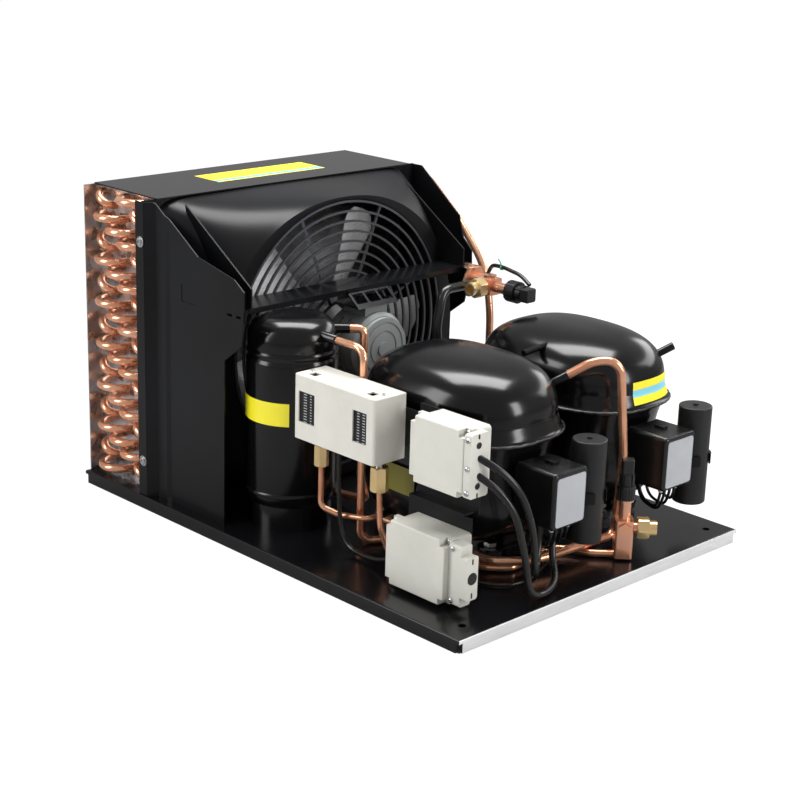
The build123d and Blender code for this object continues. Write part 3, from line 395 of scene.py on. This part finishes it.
# %% Dress the frame
schedule = {
    "base_plate": base_paint, "condenser_top_sheet": top_paint, "condenser_fins": aluminium,
    "condenser_end_plates": galvanised, "return_bends": copper,
    "fan_shroud": black_sheet, "side_wing_near": black_sheet, "side_wing_far": black_sheet,
    "shroud_gussets": black_sheet, "cross_shelf": shelf_black, "motor_bracket": shelf_black,
    "fan_guard": guard_black, "fan_wheel": fan_aluminium, "fan_shaft": zinc_steel,
    "fan_motor_housing": housing_grey, "fan_motor_end_cap": cast_grey,
    "receiver_shell": enamel, "receiver_skirt": enamel, "compressor_feet": enamel,
    "compressor_1_upper_shell": enamel, "compressor_1_lower_shell": enamel,
    "compressor_2_upper_shell": enamel, "compressor_2_lower_shell": enamel,
    "rubber_grommets": rubber, "compressor_bolts": zinc_steel,
    "terminal_cover_1": cover_plastic, "terminal_cover_2": cover_plastic,
    "terminal_blocks": cap_plastic, "capacitors": capacitor_plastic, "capacitor_clips": black_sheet,
    "junction_bracket": black_sheet, "junction_boxes": box_plastic, "junction_lids": box_plastic,
    "cable_clamps": box_plastic, "clamp_screws": zinc_steel,
    "switch_cover": cream_paint, "switch_chassis": galvanised, "switch_scales": scale_black,
    "setting_spindle_low": zinc_steel, "setting_spindle_high": zinc_steel, "switch_bellows": zinc_steel,
    "flare_nuts": brass, "liquid_valve_body": dull_copper, "liquid_valve_port": brass,
    "liquid_valve_spindle": zinc_steel, "liquid_valve_cap": cap_plastic,
    "suction_valve_body": dull_copper, "suction_valve_port": brass, "suction_valve_spindle": zinc_steel,
    "suction_valve_cap": cap_plastic, "suction_valve_pad": copper,
    "discharge_line": copper, "liquid_line": copper, "condensate_line": copper,
    "suction_line": pipe_black, "pressure_lines": copper,
    "cable_compressor_1": cable_sheath, "cable_supply": cable_sheath, "cable_pressure_switch": cable_sheath,
}
for name, finish in schedule.items():
    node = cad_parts[name]
    node.data.materials.clear()
    node.data.materials.append(finish.material)
print("dressed", len(schedule), "of", len(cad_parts), "nodes")

# %% [markdown]
# Small mesh tools. Every added piece is made of rings of points: a turned profile, a tube
# along rounded corners, or a stack of outlines. Each piece then rides on its body and takes
# the finish that it is given.


def piece(name, verts, faces, finish, like, body="chassis", crease=35):
    """Mesh on its body, with the finish it is given. The argument like is not used."""
    mesh = bpy.data.meshes.new(name)
    mesh.from_pydata([tuple(Vector(v) * MM) for v in verts], [], faces)
    mesh.materials.append(finish.material)
    builder = bmesh.new()
    builder.from_mesh(mesh)
    bmesh.ops.recalc_face_normals(builder, faces=builder.faces)
    builder.to_mesh(mesh)
    builder.free()
    mesh.shade_smooth()
    mesh.set_sharp_from_angle(angle=radians(crease))
    thing = bpy.data.objects.new(name, mesh)
    bpy.context.scene.collection.objects.link(thing)
    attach(thing, body)
    return thing


def stack(rings, closed=True):
    """Faces between rings of equal length, with both ends closed."""
    count = len(rings[0])
    faces = []
    for i in range(len(rings) - 1):
        for j in range(count):
            k = (j + 1) % count
            faces.append((i * count + j, i * count + k, (i + 1) * count + k, (i + 1) * count + j))
    if closed:
        faces.append(tuple(range(count)))
        faces.append(tuple((len(rings) - 1) * count + j for j in range(count)))
    return [point for ring in rings for point in ring], faces


def joined(*parts):
    """Several closed shapes as one set of points and faces."""
    verts, faces = [], []
    for part_verts, part_faces in parts:
        faces += [tuple(i + len(verts) for i in face) for face in part_faces]
        verts += list(part_verts)
    return verts, faces


def around(axis):
    """Two directions square to an axis."""
    axis = Vector(axis).normalized()
    side = axis.orthogonal().normalized()
    return axis, side, axis.cross(side)


def ring_about(centre, side, over, radius, count):
    """Circle of points in the plane of two directions."""
    angles = [tau * i / count for i in range(count)]
    return [centre + (side * cos(angle) + over * sin(angle)) * radius for angle in angles]


def turned(start, axis, profile, count=32):
    """Profile of (radius, distance along the axis) turned about it."""
    axis, side, over = around(axis)
    start = Vector(start)
    return stack([ring_about(start + axis * along, side, over, radius, count) for radius, along in profile])


def bend(first, middle, last, t):
    """Point at the share t of a quadratic curve."""
    return first * (1 - t) ** 2 + middle * 2 * t * (1 - t) + last * t ** 2


def rounded(points, share=0.42, steps=7):
    """The run of points with its corners drawn as smooth arcs."""
    points = [Vector(p) for p in points]
    line = [points[0]]
    for before, here, after in zip(points, points[1:], points[2:]):
        reach = share * min((here - before).length, (after - here).length)
        first = here + (before - here).normalized() * reach
        last = here + (after - here).normalized() * reach
        for i in range(steps + 1):
            line.append(bend(first, here, last, i / steps))
    return line + [points[-1]]


def tube(points, radius, share=0.42, count=12):
    """Round bar along a run of points, its section carried on without a twist."""
    line = rounded(points, share) if len(points) > 2 else [Vector(p) for p in points]
    rings = []
    way = (line[1] - line[0]).normalized()
    side = way.orthogonal().normalized()
    for i, here in enumerate(line):
        way = (line[min(i + 1, len(line) - 1)] - line[max(i - 1, 0)]).normalized()
        side = (side - way * side.dot(way)).normalized()
        over = way.cross(side)
        rings.append(ring_about(here, side, over, radius, count))
    return stack(rings)


def slab(centre, across, upward, width, height, thickness, corner=2.0, steps=4):
    """Thin plate with rounded corners and a small chamfer; it grows along across x upward."""
    across, upward = Vector(across).normalized(), Vector(upward).normalized()
    out = across.cross(upward)
    rings = []
    for inset, along in ((0, 0), (0, thickness * 0.6), (thickness * 0.4, thickness)):
        ring = []
        for sx, sy, first in ((1, 1, 0), (-1, 1, 90), (-1, -1, 180), (1, -1, 270)):
            for k in range(steps + 1):
                angle = radians(first + 90 * k / steps)
                x = sx * (width / 2 - corner) + (corner - inset) * cos(angle)
                y = sy * (height / 2 - corner) + (corner - inset) * sin(angle)
                ring.append(Vector(centre) + across * x + upward * y + out * along)
        rings.append(ring)
    return stack(rings)


def pan_head(place, way, radius=3.0, height=2.2):
    """Low domed screw head with a small round drive."""
    shape = ((1, 0), (1, 0.35), (0.86, 0.8), (0.5, 1), (0.34, 0.96), (0.30, 0.45))
    return turned(place, way, [(radius * across, height * along) for across, along in shape], 20)


print("mesh tools ready")

# %% [markdown]
# The cords come before anything else that is added. All three are fixed at both ends, so
# they hang as plain bent cables: two leave the upper junction box and go up under the first
# terminal cover, and one goes from the pressure switch to the lower box.

# %% Cords
SAMPLES = 60


def curve_length(points):
    """Length of the quadratic spline that these control points give."""
    corners = [Vector(p) for p in points]
    middles = [(a + b) / 2 for a, b in zip(corners[1:-2], corners[2:-1])]
    joints = [corners[0], *middles, corners[-1]]
    total = 0
    for first, middle, last in zip(joints, corners[1:-1], joints[1:]):
        line = [bend(first, middle, last, i / SAMPLES) for i in range(SAMPLES + 1)]
        total += sum((b - a).length for a, b in zip(line, line[1:]))
    return total


def cord(node, diameter, points):
    data = bpy.data.curves.new(node + "_curve", "CURVE")
    data.dimensions = "3D"
    data.resolution_u = 14
    data.bevel_depth = diameter / 2
    data.bevel_resolution = 5
    data.use_fill_caps = True
    spline = data.splines.new("NURBS")
    spline.points.add(len(points) - 1)
    for control, point in zip(spline.points, points):
        control.co = (*point, 1)
    spline.order_u = 3
    spline.use_endpoint_u = True
    data.materials.append(cable_sheath.material)
    thing = bpy.data.objects.new(node + "_cord", data)
    bpy.context.scene.collection.objects.link(thing)
    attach(thing, "chassis")
    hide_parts(node)
    length = curve_length(points)
    print(node, round(length * 1000, 1), "mm")


cord("cable_compressor_1", 0.0075, [
    (0.269, -0.167, 0.178), (0.300, -0.144, 0.161), (0.302, -0.112, 0.100),
    (0.298, -0.102, 0.038), (0.262, -0.058, 0.036), (0.262, -0.056, 0.089)])
cord("cable_supply", 0.0075, [
    (0.269, -0.167, 0.160), (0.298, -0.145, 0.140), (0.304, -0.126, 0.076), (0.303, -0.114, 0.021),
    (0.296, -0.064, 0.022), (0.266, -0.042, 0.042), (0.262, -0.036, 0.089)])
cord("cable_pressure_switch", 0.005, [
    (0.066, -0.160, 0.136), (0.064, -0.159, 0.084), (0.070, -0.157, 0.021),
    (0.118, -0.160, 0.0195), (0.146, -0.162, 0.028), (0.178, -0.164, 0.044)])

# %% [markdown]
# The compressors are drawn from sheet, so their domes must be perfectly smooth. A
# super-ellipse gives the plan, and the same law rounds the top. The weld seam is a rough
# bead that wanders a little round the shell.

# %% Compressor shells
SQUARE = 2.6
HALF_X, HALF_Y = 113, 84.5
SEAM_Z, LIP_Z, SHOULDER_Z, CROWN = 158, 162, 176, 57.5
SHOULDER_SCALE, DOME_POWER = 0.945, 2.7
SIDE_STEPS, DOME_STEPS, BEAD_SIDES = 6, 40, 8


def on_plan(centre, angle, scale, z, grow):
    """Point of the rounded rectangle that the shell has at one height."""
    c, s = cos(angle), sin(angle)
    x = (HALF_X * scale + grow) * abs(c) ** (2 / SQUARE) * (1 if c >= 0 else -1)
    y = (HALF_Y * scale + grow) * abs(s) ** (2 / SQUARE) * (1 if s >= 0 else -1)
    return Vector((centre[0] + x, centre[1] + y, z))


def plan(centre, scale, z, grow=0.0, count=144):
    return [on_plan(centre, tau * i / count, scale, z, grow) for i in range(count)]


def shell_scale(z):
    """How the plan shrinks with height above the seam."""
    if z < SHOULDER_Z:
        return 1 - (1 - SHOULDER_SCALE) * ((z - SEAM_Z) / (SHOULDER_Z - SEAM_Z)) ** 1.3
    height = min((z - SHOULDER_Z) / CROWN, 1)
    return SHOULDER_SCALE * (1 - height ** DOME_POWER) ** (1 / DOME_POWER)


def dome(centre):
    """Lip over the seam, side and crown."""
    lip = ((SEAM_Z, 0.2), (SEAM_Z, 0.9), (LIP_Z - 0.6, 0.9), (LIP_Z, 0))
    side = [LIP_Z + (SHOULDER_Z - LIP_Z) * i / SIDE_STEPS for i in range(1, SIDE_STEPS + 1)]
    crown = [SHOULDER_Z + CROWN * sin(pi / 2 * i / DOME_STEPS) for i in range(1, DOME_STEPS)]
    rings = [plan(centre, 1, z, grow) for z, grow in lip]
    rings += [plan(centre, shell_scale(z), z) for z in side + crown]
    rings.append(plan(centre, 0.02, SHOULDER_Z + CROWN))
    return stack(rings)


def outlet_stub(centre):
    """Short open pipe in its weld collar, leaning out of the far corner."""
    foot = Vector((centre[0] + 62, centre[1] + 62, 194))
    way = Vector((0.68, 0.49, 0.54)).normalized()
    pipe = turned(foot - way * 8, way, [(4.5, 0), (4.5, 37.4), (4.2, 38), (3.2, 38), (3.2, 30)], 28)
    collar = turned(foot - way * 1, way, [(7.5, 0), (6.6, 2.2), (4.6, 3.6)], 28)
    return joined(pipe, collar)


def process_stub(centre):
    x, y = centre[0] + 11, centre[1]
    return tube([(x, y - 58, 219), (x, y - 97, 216)], 3.6)


def seam_bead(centre):
    """Weld that wanders a little round the shell."""
    rings = []
    for i, here in enumerate(plan(centre, 1, SEAM_Z + 2, 1.2, 288)):
        wander = 0.35 * sin(i * 0.9) + 0.25 * sin(i * 2.3 + 1)
        out = Vector((here.x - centre[0], here.y - centre[1], 0)).normalized()
        ring = []
        for k in range(BEAD_SIDES):
            angle = tau * k / BEAD_SIDES
            rise = Vector((0, 0, wander + 1.5 * sin(angle)))
            ring.append(here + out * (1.3 + 0.3 * wander) * cos(angle) + rise)
        rings.append(ring)
    return stack(rings + [rings[0]], closed=False)


def upper_shell(number, centre):
    node = f"compressor_{number}_upper_shell"
    parts = [dome(centre), outlet_stub(centre)]
    if number == 2:
        parts.append(process_stub(centre))
    thing = piece(f"compressor_{number}_dome", *joined(*parts), enamel, node, crease=50)
    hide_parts(node)
    piece(f"compressor_{number}_seam_bead", *seam_bead(centre), weld_black, node, crease=180)


centres = {1: (131, -44), 2: (131, 137)}
for number, centre in centres.items():
    upper_shell(number, centre)
print("shells made")

# %% [markdown]
# The receiver is a bottle turned from one profile: a drawn cap with a soft shoulder, a
# rolled groove, the cylinder, a weld near the foot and the dished bottom.

# %% Receiver
RECEIVER = (-38, -137)
RECEIVER_RADIUS, CAP_RADIUS = 51, 50
CAP_Z, CAP_RISE, CAP_STEPS = 226, 28, 16
STUB_RADIUS = 5.5


def bottle():
    foot = [(0.5, 33), (31, 34), (42, 38), (48, 44), (RECEIVER_RADIUS, 52)]
    groove = [(RECEIVER_RADIUS, 203), (50.6, 206), (49.4, 208.5), (49.2, 210), (50.4, 212), (50.9, 214),
              (50.4, 216), (49.5, 218), (49.8, 220), (CAP_RADIUS, 222), (CAP_RADIUS, CAP_Z)]
    cap = []
    for i in range(1, CAP_STEPS):
        angle = pi / 2 * i / CAP_STEPS
        cap.append((CAP_RADIUS * cos(angle) ** 0.52, CAP_Z + CAP_RISE * sin(angle)))
    cap.append((0.5, CAP_Z + CAP_RISE))
    return turned((*RECEIVER, 0), (0, 0, 1), foot + groove + cap, 96)


def receiver():
    bead = [(RECEIVER_RADIUS, 54), (52.1, 55), (52.3, 56.5), (51.9, 58), (RECEIVER_RADIUS, 59)]
    weld = turned((*RECEIVER, 0), (0, 0, 1), bead, 96)
    open_end = [(STUB_RADIUS, 0), (STUB_RADIUS, 49), (5.0, 50), (4.1, 50), (4.1, 46)]
    outlet = turned((-20, -133, 236), (1, 0, 0), open_end, 28)
    start = Vector((-24, -121, 236))
    run = Vector((3, -90, 236)) - start
    shut_end = [(STUB_RADIUS, 0), (STUB_RADIUS, run.length - 1), (5.0, run.length), (4.8, run.length)]
    inlet = turned(start, run, shut_end, 28)
    parts = joined(bottle(), weld, outlet, inlet)
    thing = piece("receiver_bottle", *parts, enamel, "receiver_shell", crease=40)
    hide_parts("receiver_shell")


receiver()
print("receiver made")

# %% [markdown]
# The hood carries air from the square coil to the round fan. Its skin starts as a rectangle
# with tight corners and ends as a near circle. The corners let go late, so that the skin
# bulges softly, and it is one sheet with an inside face, because the fan shows it.

# %% Hood
HOOD_CENTRE = (-9.5, 187.85)
FAN_CENTRE = (-10, 192)
HOOD_BACK, HOOD_FRONT, HOOD_SKIN = -198.5, -96, 2
HALF_WIDTHS, HALF_HEIGHTS, POWERS = (194.5, 179), (171.8, 169), (16, 2.15)
MOUTH_RADIUS = 160.3
FLANGE_Y, FLANGE_Z = (-220.2, 197), (16, 359.7)
OPENING_Y, OPENING_Z = (-196, 177), (24, 351.7)


def squircle(half_y, half_z, power, x, inset=0.0, count=160):
    ring = []
    for i in range(count):
        c, s = cos(tau * i / count), sin(tau * i / count)
        reach = (abs(c / (half_y - inset)) ** power + abs(s / (half_z - inset)) ** power) ** (-1 / power)
        ring.append(Vector((x, HOOD_CENTRE[0] + reach * c, HOOD_CENTRE[1] + reach * s)))
    return ring


def blend(ends, t):
    return ends[0] + (ends[1] - ends[0]) * t


def hood_rings(inset, back, front, steps=18):
    """Straight run from square to round, mixed with one whose corners let go late."""
    square, round_end = [squircle(HALF_WIDTHS[i], HALF_HEIGHTS[i], POWERS[i], x, inset)
                         for i, x in enumerate((back, front))]
    rings = []
    for i in range(steps + 1):
        t = i / steps
        power = POWERS[0] * (POWERS[1] / POWERS[0]) ** t
        late = squircle(blend(HALF_WIDTHS, t), blend(HALF_HEIGHTS, t), power, 0, inset)
        ring = []
        for a, b, c in zip(square, round_end, late):
            plain = a * (1 - t) + b * t
            soft = plain * 0.45 + c * 0.55
            ring.append(Vector((plain.x, soft.y, soft.z)))
        rings.append(ring)
    return rings


def circle(radius, x, count=160):
    centre = Vector((x, *FAN_CENTRE))
    return ring_about(centre, Vector((0, 1, 0)), Vector((0, 0, 1)), radius, count)


def oblong(y, z, x):
    return [Vector((x, y[i], z[j])) for i, j in ((0, 0), (1, 0), (1, 1), (0, 1))]


def hood():
    outside = hood_rings(0, HOOD_BACK, HOOD_FRONT)
    inner = hood_rings(HOOD_SKIN, HOOD_BACK + 0.1, HOOD_FRONT - HOOD_SKIN)
    edge = ((3.2, 0), (0.9, 0.5), (0, 1.6), (0, HOOD_SKIN))
    mouth = [circle(MOUTH_RADIUS + wider, HOOD_FRONT - back) for wider, back in edge]
    skin = stack(outside + mouth + inner[::-1] + [outside[0]], closed=False)
    back, front = HOOD_BACK, HOOD_BACK + HOOD_SKIN
    rings = [oblong(FLANGE_Y, FLANGE_Z, back), oblong(FLANGE_Y, FLANGE_Z, front),
             oblong(OPENING_Y, OPENING_Z, front), oblong(OPENING_Y, OPENING_Z, back)]
    flange = stack(rings + [rings[0]], closed=False)
    thing = piece("hood_skin", *joined(skin, flange), black_sheet, "fan_shroud", crease=38)
    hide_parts("fan_shroud")


hood()
print("hood made")

# %% [markdown]
# The fan wheel has five sheet blades. Each is curved along its chord, twists from root to
# tip and has rounded tip corners. It rides on the fan's own body, so it spins with it.

# %% Fan wheel
BLADES, SPAN_ROWS, CHORD_POINTS, BLADE_SHEET = 5, 15, 13, 1.4
ROOT_RADIUS, BLADE_SPAN, TIP_ROUND = 31, 119, 0.86
FIRST_BLADE = 48


def blade_rows(turn_to):
    """Rows of points along the chord, from the root to the rounded tip."""
    rows = []
    for j in range(SPAN_ROWS):
        v = j / (SPAN_ROWS - 1)
        radius = ROOT_RADIUS + BLADE_SPAN * v
        cut = 0 if v < TIP_ROUND else ((v - TIP_ROUND) / (1 - TIP_ROUND)) ** 2.2 * 0.42
        chord = (52 + 42 * v) * (1 - cut)
        pitch = radians(38 - 16 * v)
        row = []
        for i in range(CHORD_POINTS):
            u = i / (CHORD_POINTS - 1) - 0.5
            angle = turn_to + chord * u * cos(pitch) / radius
            x = -132 + chord * u * sin(pitch) + 4 * (1 - 4 * u * u)
            row.append(Vector((x, FAN_CENTRE[0] - radius * sin(angle), FAN_CENTRE[1] + radius * cos(angle))))
        rows.append(row)
    return rows


def blade(turn_to):
    """Both faces of the sheet, and the edge round them."""
    count, last = CHORD_POINTS, SPAN_ROWS - 1
    edge = [(0, i) for i in range(count)] + [(j, count - 1) for j in range(1, SPAN_ROWS)]
    edge += [(last, i) for i in range(count - 2, -1, -1)] + [(j, 0) for j in range(last - 1, 0, -1)]
    front = [point for row in blade_rows(turn_to) for point in row]
    back = [point + Vector((BLADE_SHEET, 0, 0)) for point in front]
    total = len(front)
    faces = []
    for j in range(last):
        for i in range(count - 1):
            a = j * count + i
            face = (a, a + 1, a + count + 1, a + count)
            faces += [face, tuple(total + corner for corner in reversed(face))]
    for (j, i), (k, m) in zip(edge, edge[1:] + edge[:1]):
        a, b = j * count + i, k * count + m
        faces.append((a, b, total + b, total + a))
    return front + back, faces


hub_profile = [(4.2, 0), (31.5, 0), (33.4, 0.8), (34, 2.5), (34, 13.5), (33.4, 15.2), (31.5, 16),
               (12, 16), (11, 17), (4.2, 17)]
hub = turned((-140, *FAN_CENTRE), (1, 0, 0), hub_profile, 48)
blades = [blade(radians(FIRST_BLADE + 360 / BLADES * i)) for i in range(BLADES)]
wheel = piece("fan_blades", *joined(hub, *blades), fan_aluminium, "fan_wheel", "fan", crease=40)
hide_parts("fan_wheel")
print("fan made")

# %% [markdown]
# Labels are left bare: plain yellow paper on the receiver and on the second compressor, with
# a cyan band there, yellow paper low on the first compressor painted dark olive as painted
# shade, and grey plates on the terminal covers.

# %% Labels
BAND_Z = (0.1735, 0.1815)
LOWER_SCALE = 0.955


def patch(name, rows, finish, like):
    """Sheet through rows of points."""
    count = len(rows[0])
    faces = [(i * count + j, i * count + j + 1, (i + 1) * count + j + 1, (i + 1) * count + j)
             for i in range(len(rows) - 1) for j in range(count - 1)]
    return piece(name, [p for row in rows for p in row], faces, finish, like, crease=180)


def on_receiver(degrees, z, grow=0.35):
    radius, angle = RECEIVER_RADIUS + grow, radians(degrees)
    return Vector((RECEIVER[0] + radius * cos(angle), RECEIVER[1] + radius * sin(angle), z))


def spread(low, high, count):
    return [low + (high - low) * i / (count - 1) for i in range(count)]


def shell_rows(number, degrees, heights, scale_at, grow=0.6):
    """Rows of points just outside a compressor's shell."""
    return [[on_plan(centres[number], radians(d), scale_at(z), z, grow) for d in degrees] for z in heights]


def two_tone():
    """Yellow paper with a cyan band at mid height."""
    finish = pale_paint("label_two_tone", YELLOW, 0.35)
    band = inside(finish.axis("Z"), *BAND_Z)
    finish.feed("Base Color", finish.mix(band, YELLOW, (0.22, 0.60, 0.74)))
    return finish


rows = [[on_receiver(a, z) for a in spread(-130, -44, 40)] for z in (138.5, 145, 152, 158, 164.5)]
patch("receiver_label", rows, label_yellow, "receiver_shell")
rows = shell_rows(2, spread(-10.5, 29.5, 28), spread(165.5, 190, 12), shell_scale)
patch("compressor_2_label", rows, two_tone(), "compressor_2_upper_shell")
rows = shell_rows(1, spread(-104, -86, 16), (88, 98, 108, 118), lambda z: LOWER_SCALE)
# Painted shade: this yellow label takes a dark olive colour, as it looks in shadow.
patch("compressor_1_label", rows, label_yellow_painted_shade, "compressor_1_lower_shell")
for number, side in ((1, "near"), (2, "far")):
    plate = slab((290.02, centres[number][1], 109), (0, 1, 0), (0, 0, 1), 44, 53, 0.5, 3.5)
    cover = f"terminal_cover_{number}"
    piece(f"cover_plate_{number}", *plate, sticker_grey, cover, f"terminal_cover_{side}")
print("labels made")

# %% [markdown]
# Fasteners and fittings: pan heads on the junction boxes and the switch, round glands and
# slots in the clamp ends, and bolts on the side strip.

# %% Fasteners
TO_FRONT, ALONG, ACROSS, UPWARD = (0, -1, 0), (1, 0, 0), (0, 1, 0), (0, 0, 1)
LID_SCREW_INSET, LID_SCREW_RISE = 3.5, 66.5

places = [((269.3, -178, z), 2.8) for z in (142, 167, 196)]
places += [((260.3, -184, z), 2.8) for z in (28, 83)]
for x0, x1, z0, face in ((190, 264, 134, -168), (172, 255, 20.5, -180)):
    for x in (x0 + LID_SCREW_INSET, x1 - LID_SCREW_INSET):
        places += [((x, face, z), 2.6) for z in (z0 + LID_SCREW_INSET, z0 + LID_SCREW_RISE)]
heads = [pan_head(place, TO_FRONT, radius) for place, radius in places]
screws = piece("box_screws", *joined(*heads), zinc_steel, "clamp_screws")
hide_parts("clamp_screws")

bolts = []
for z in (314, 57):
    washer = turned((-199, -221.8, z), TO_FRONT, [(6.2, 0), (6.2, 0.9), (5.4, 1.1), (4.6, 1.1)], 28)
    nut_profile = [(4.6, 0), (4.6, 1.2), (3.9, 1.8), (2.4, 1.8), (2.2, 0.8)]
    bolts.append(joined(washer, turned((-199, -222.8, z), TO_FRONT, nut_profile, 6)))
piece("strip_bolts", *joined(*bolts), zinc_steel, "compressor_bolts")

small_gland = [(3.4, 0), (3.4, 0.5), (2.7, 0.7), (2.2, 0.2)]
large_gland = [(6.5, 0), (6.5, 0.4), (5.2, 0.6), (4.2, 0.2)]
glands = [turned((273.25, -167, z), ALONG, small_gland, 24) for z in (148, 190)]
glands += [slab((273.3, -167, z), ACROSS, UPWARD, 2.2, 5, 0.35, 1.0) for z in (138.5, 199)]
glands += [slab((280.25, -176, z), ACROSS, UPWARD, 2.0, 6, 0.35, 0.9) for z in (37, 73)]
glands.append(turned((280.25, -176, 55), ALONG, large_gland, 28))
piece("box_glands", *joined(*glands), cap_plastic, "cable_clamps")

switch_heads = [pan_head((x, -162, 206), UPWARD, 2.4, 1.6) for x in (24, 134)]
piece("switch_screws", *joined(*switch_heads), zinc_steel, "setting_spindle_low", "switch_front")
print("fasteners made")

# %% [markdown]
# Loose wires end the list: short leads under the terminal covers, a thin black wire over the
# base plate, and a strap with a green tie that arches over the suction valve and comes away
# with its cap.

# %% Wires
def terminal_lead(y, drop, back):
    """One lead that hangs out of a terminal cover and turns back up behind it."""
    low, behind = 274 - back * 0.3, 262 - back
    return tube([(276, y, 92), (277, y, 70), (low, y + 3, drop), (behind, y + 8, drop + 4),
                 (behind - 6, y + 6, 78)], 1.7)


sleeve_profile = [(3.0, 0), (3.2, 3), (3.2, 9), (2.2, 11)]
for number, (_, middle) in centres.items():
    leads = [terminal_lead(middle + dy, drop, back)
             for dy, drop, back in ((-12, 52, 16), (-4, 46, 24), (5, 50, 20), (13, 56, 12))]
    piece(f"terminal_leads_{number}", *joined(*leads), cable_sheath, "cable_compressor_1")
    sleeves = [turned((277, middle + dy, 84), (0, 0, -1), sleeve_profile, 16) for dy in (-12, 13)]
    piece(f"terminal_sleeves_{number}", *joined(*sleeves), sticker_grey, "terminal_blocks")

arch = tube([(-31, 163, 252), (-24, 164, 266), (-3, 160, 268), (28, 158, 264), (45, 155, 256)], 2.4)
piece("arched_wire", *arch, cable_sheath, "cable_compressor_1", "suction_cap")
tie = joined(turned((-6, 160.5, 266.6), ALONG, [(2.6, 0), (3.1, 0.3), (3.1, 2.2), (2.6, 2.5)], 20),
             tube([(-5, 160, 269), (-7, 159, 274), (-9, 158, 277)], 0.7, count=8))
tie_green = pale_paint("tie_green", (0.04, 0.42, 0.22), 0.4)
piece("green_tie", *tie, tie_green, "cable_compressor_1", "suction_cap")
run = tube([(233, -114, 18), (256, -99, 17.5), (262, -68, 17.5), (244, -24, 17.5)], 1.8)
piece("base_wire", *run, cable_sheath, "cable_compressor_1")
print("wires made")

# %% [markdown]
# The studio: a floor that shows as plain white to the camera but still takes the shadow, a
# white world behind it, and a few large soft lamps. Their long reflections on the vessels
# are what makes black enamel look wet.

# %% Studio
def lamp(name, place, aim, size, power):
    data = bpy.data.lights.new(name, "AREA")
    data.shape = "RECTANGLE"
    data.size, data.size_y = size
    data.energy = power
    thing = bpy.data.objects.new(name, data)
    bpy.context.scene.collection.objects.link(thing)
    thing.location = place
    thing.rotation_euler = (Vector(aim) - Vector(place)).to_track_quat("-Z", "Y").to_euler()


def ray(graph, kind):
    """1 for a ray of this kind, 0 for any other."""
    return graph.node("LightPath", output=f"Is {kind} Ray")


lamp("overhead", (-0.15, 0.25, 1.6), (0.05, 0.05, 0), (1.5, 0.7), 40)
lamp("left_wall", (-0.9, -1.9, 1.0), (-0.1, 0, 0.15), (0.8, 1.5), 26)
lamp("right_wall", (2.1, 0.7, 0.8), (0.1, 0, 0.15), (0.5, 1.2), 20)
lamp("back_rim", (0.3, 1.9, 1.0), (0, 0, 0.2), (1.8, 0.5), 12)

world = bpy.data.worlds.new("studio")
bpy.context.scene.world = world
world.use_nodes = True
sky = Graph(world.node_tree)
background = sky.tree.nodes["Background"]
connect(sky.tree, background.inputs["Color"], (1, 1, 1))
strength = 0.5 + ray(sky, "Camera") * 0.6 + ray(sky, "Transmission") * 0.6 - ray(sky, "Glossy") * 0.14
connect(sky.tree, background.inputs["Strength"], strength)

FLOOR_HALF = 45
FLOOR_DROP = 0.0006
corners = [(FLOOR_HALF * x, FLOOR_HALF * y, 0) for x, y in ((-1, -1), (1, -1), (1, 1), (-1, 1))]
floor_mesh = bpy.data.meshes.new("floor")
floor_mesh.from_pydata(corners, [], [(0, 1, 2, 3)])
floor = bpy.data.objects.new("floor", floor_mesh)
bpy.context.scene.collection.objects.link(floor)
floor.location.z = -FLOOR_DROP

floor_white = Finish("floor_white", base_color=(0.8, 0.8, 0.8), roughness=0.7)
camera_ray, glossy_ray = ray(floor_white, "Camera"), ray(floor_white, "Glossy")
glow = floor_white.node("Emission", sockets={"Color": (1, 1, 1), "Strength": camera_ray * 0.94 + 0.16})
beneath = inside(floor_white.axis("X"), -0.31, 0.31) * inside(floor_white.axis("Y"), -0.222, 0.222)
share = (camera_ray * 0.86 + glossy_ray * 0.75) * (1 - beneath)
matt = Signal(floor_white.tree, floor_white.shader.outputs[0])
surface = floor_white.node("MixShader", sockets={0: share, 1: matt, 2: glow})
connect(floor_white.tree, floor_white.tree.nodes["Material Output"].inputs["Surface"], surface)
floor_mesh.materials.append(floor_white.material)
bpy.context.scene.view_settings.view_transform = "Standard"
print("studio lit")
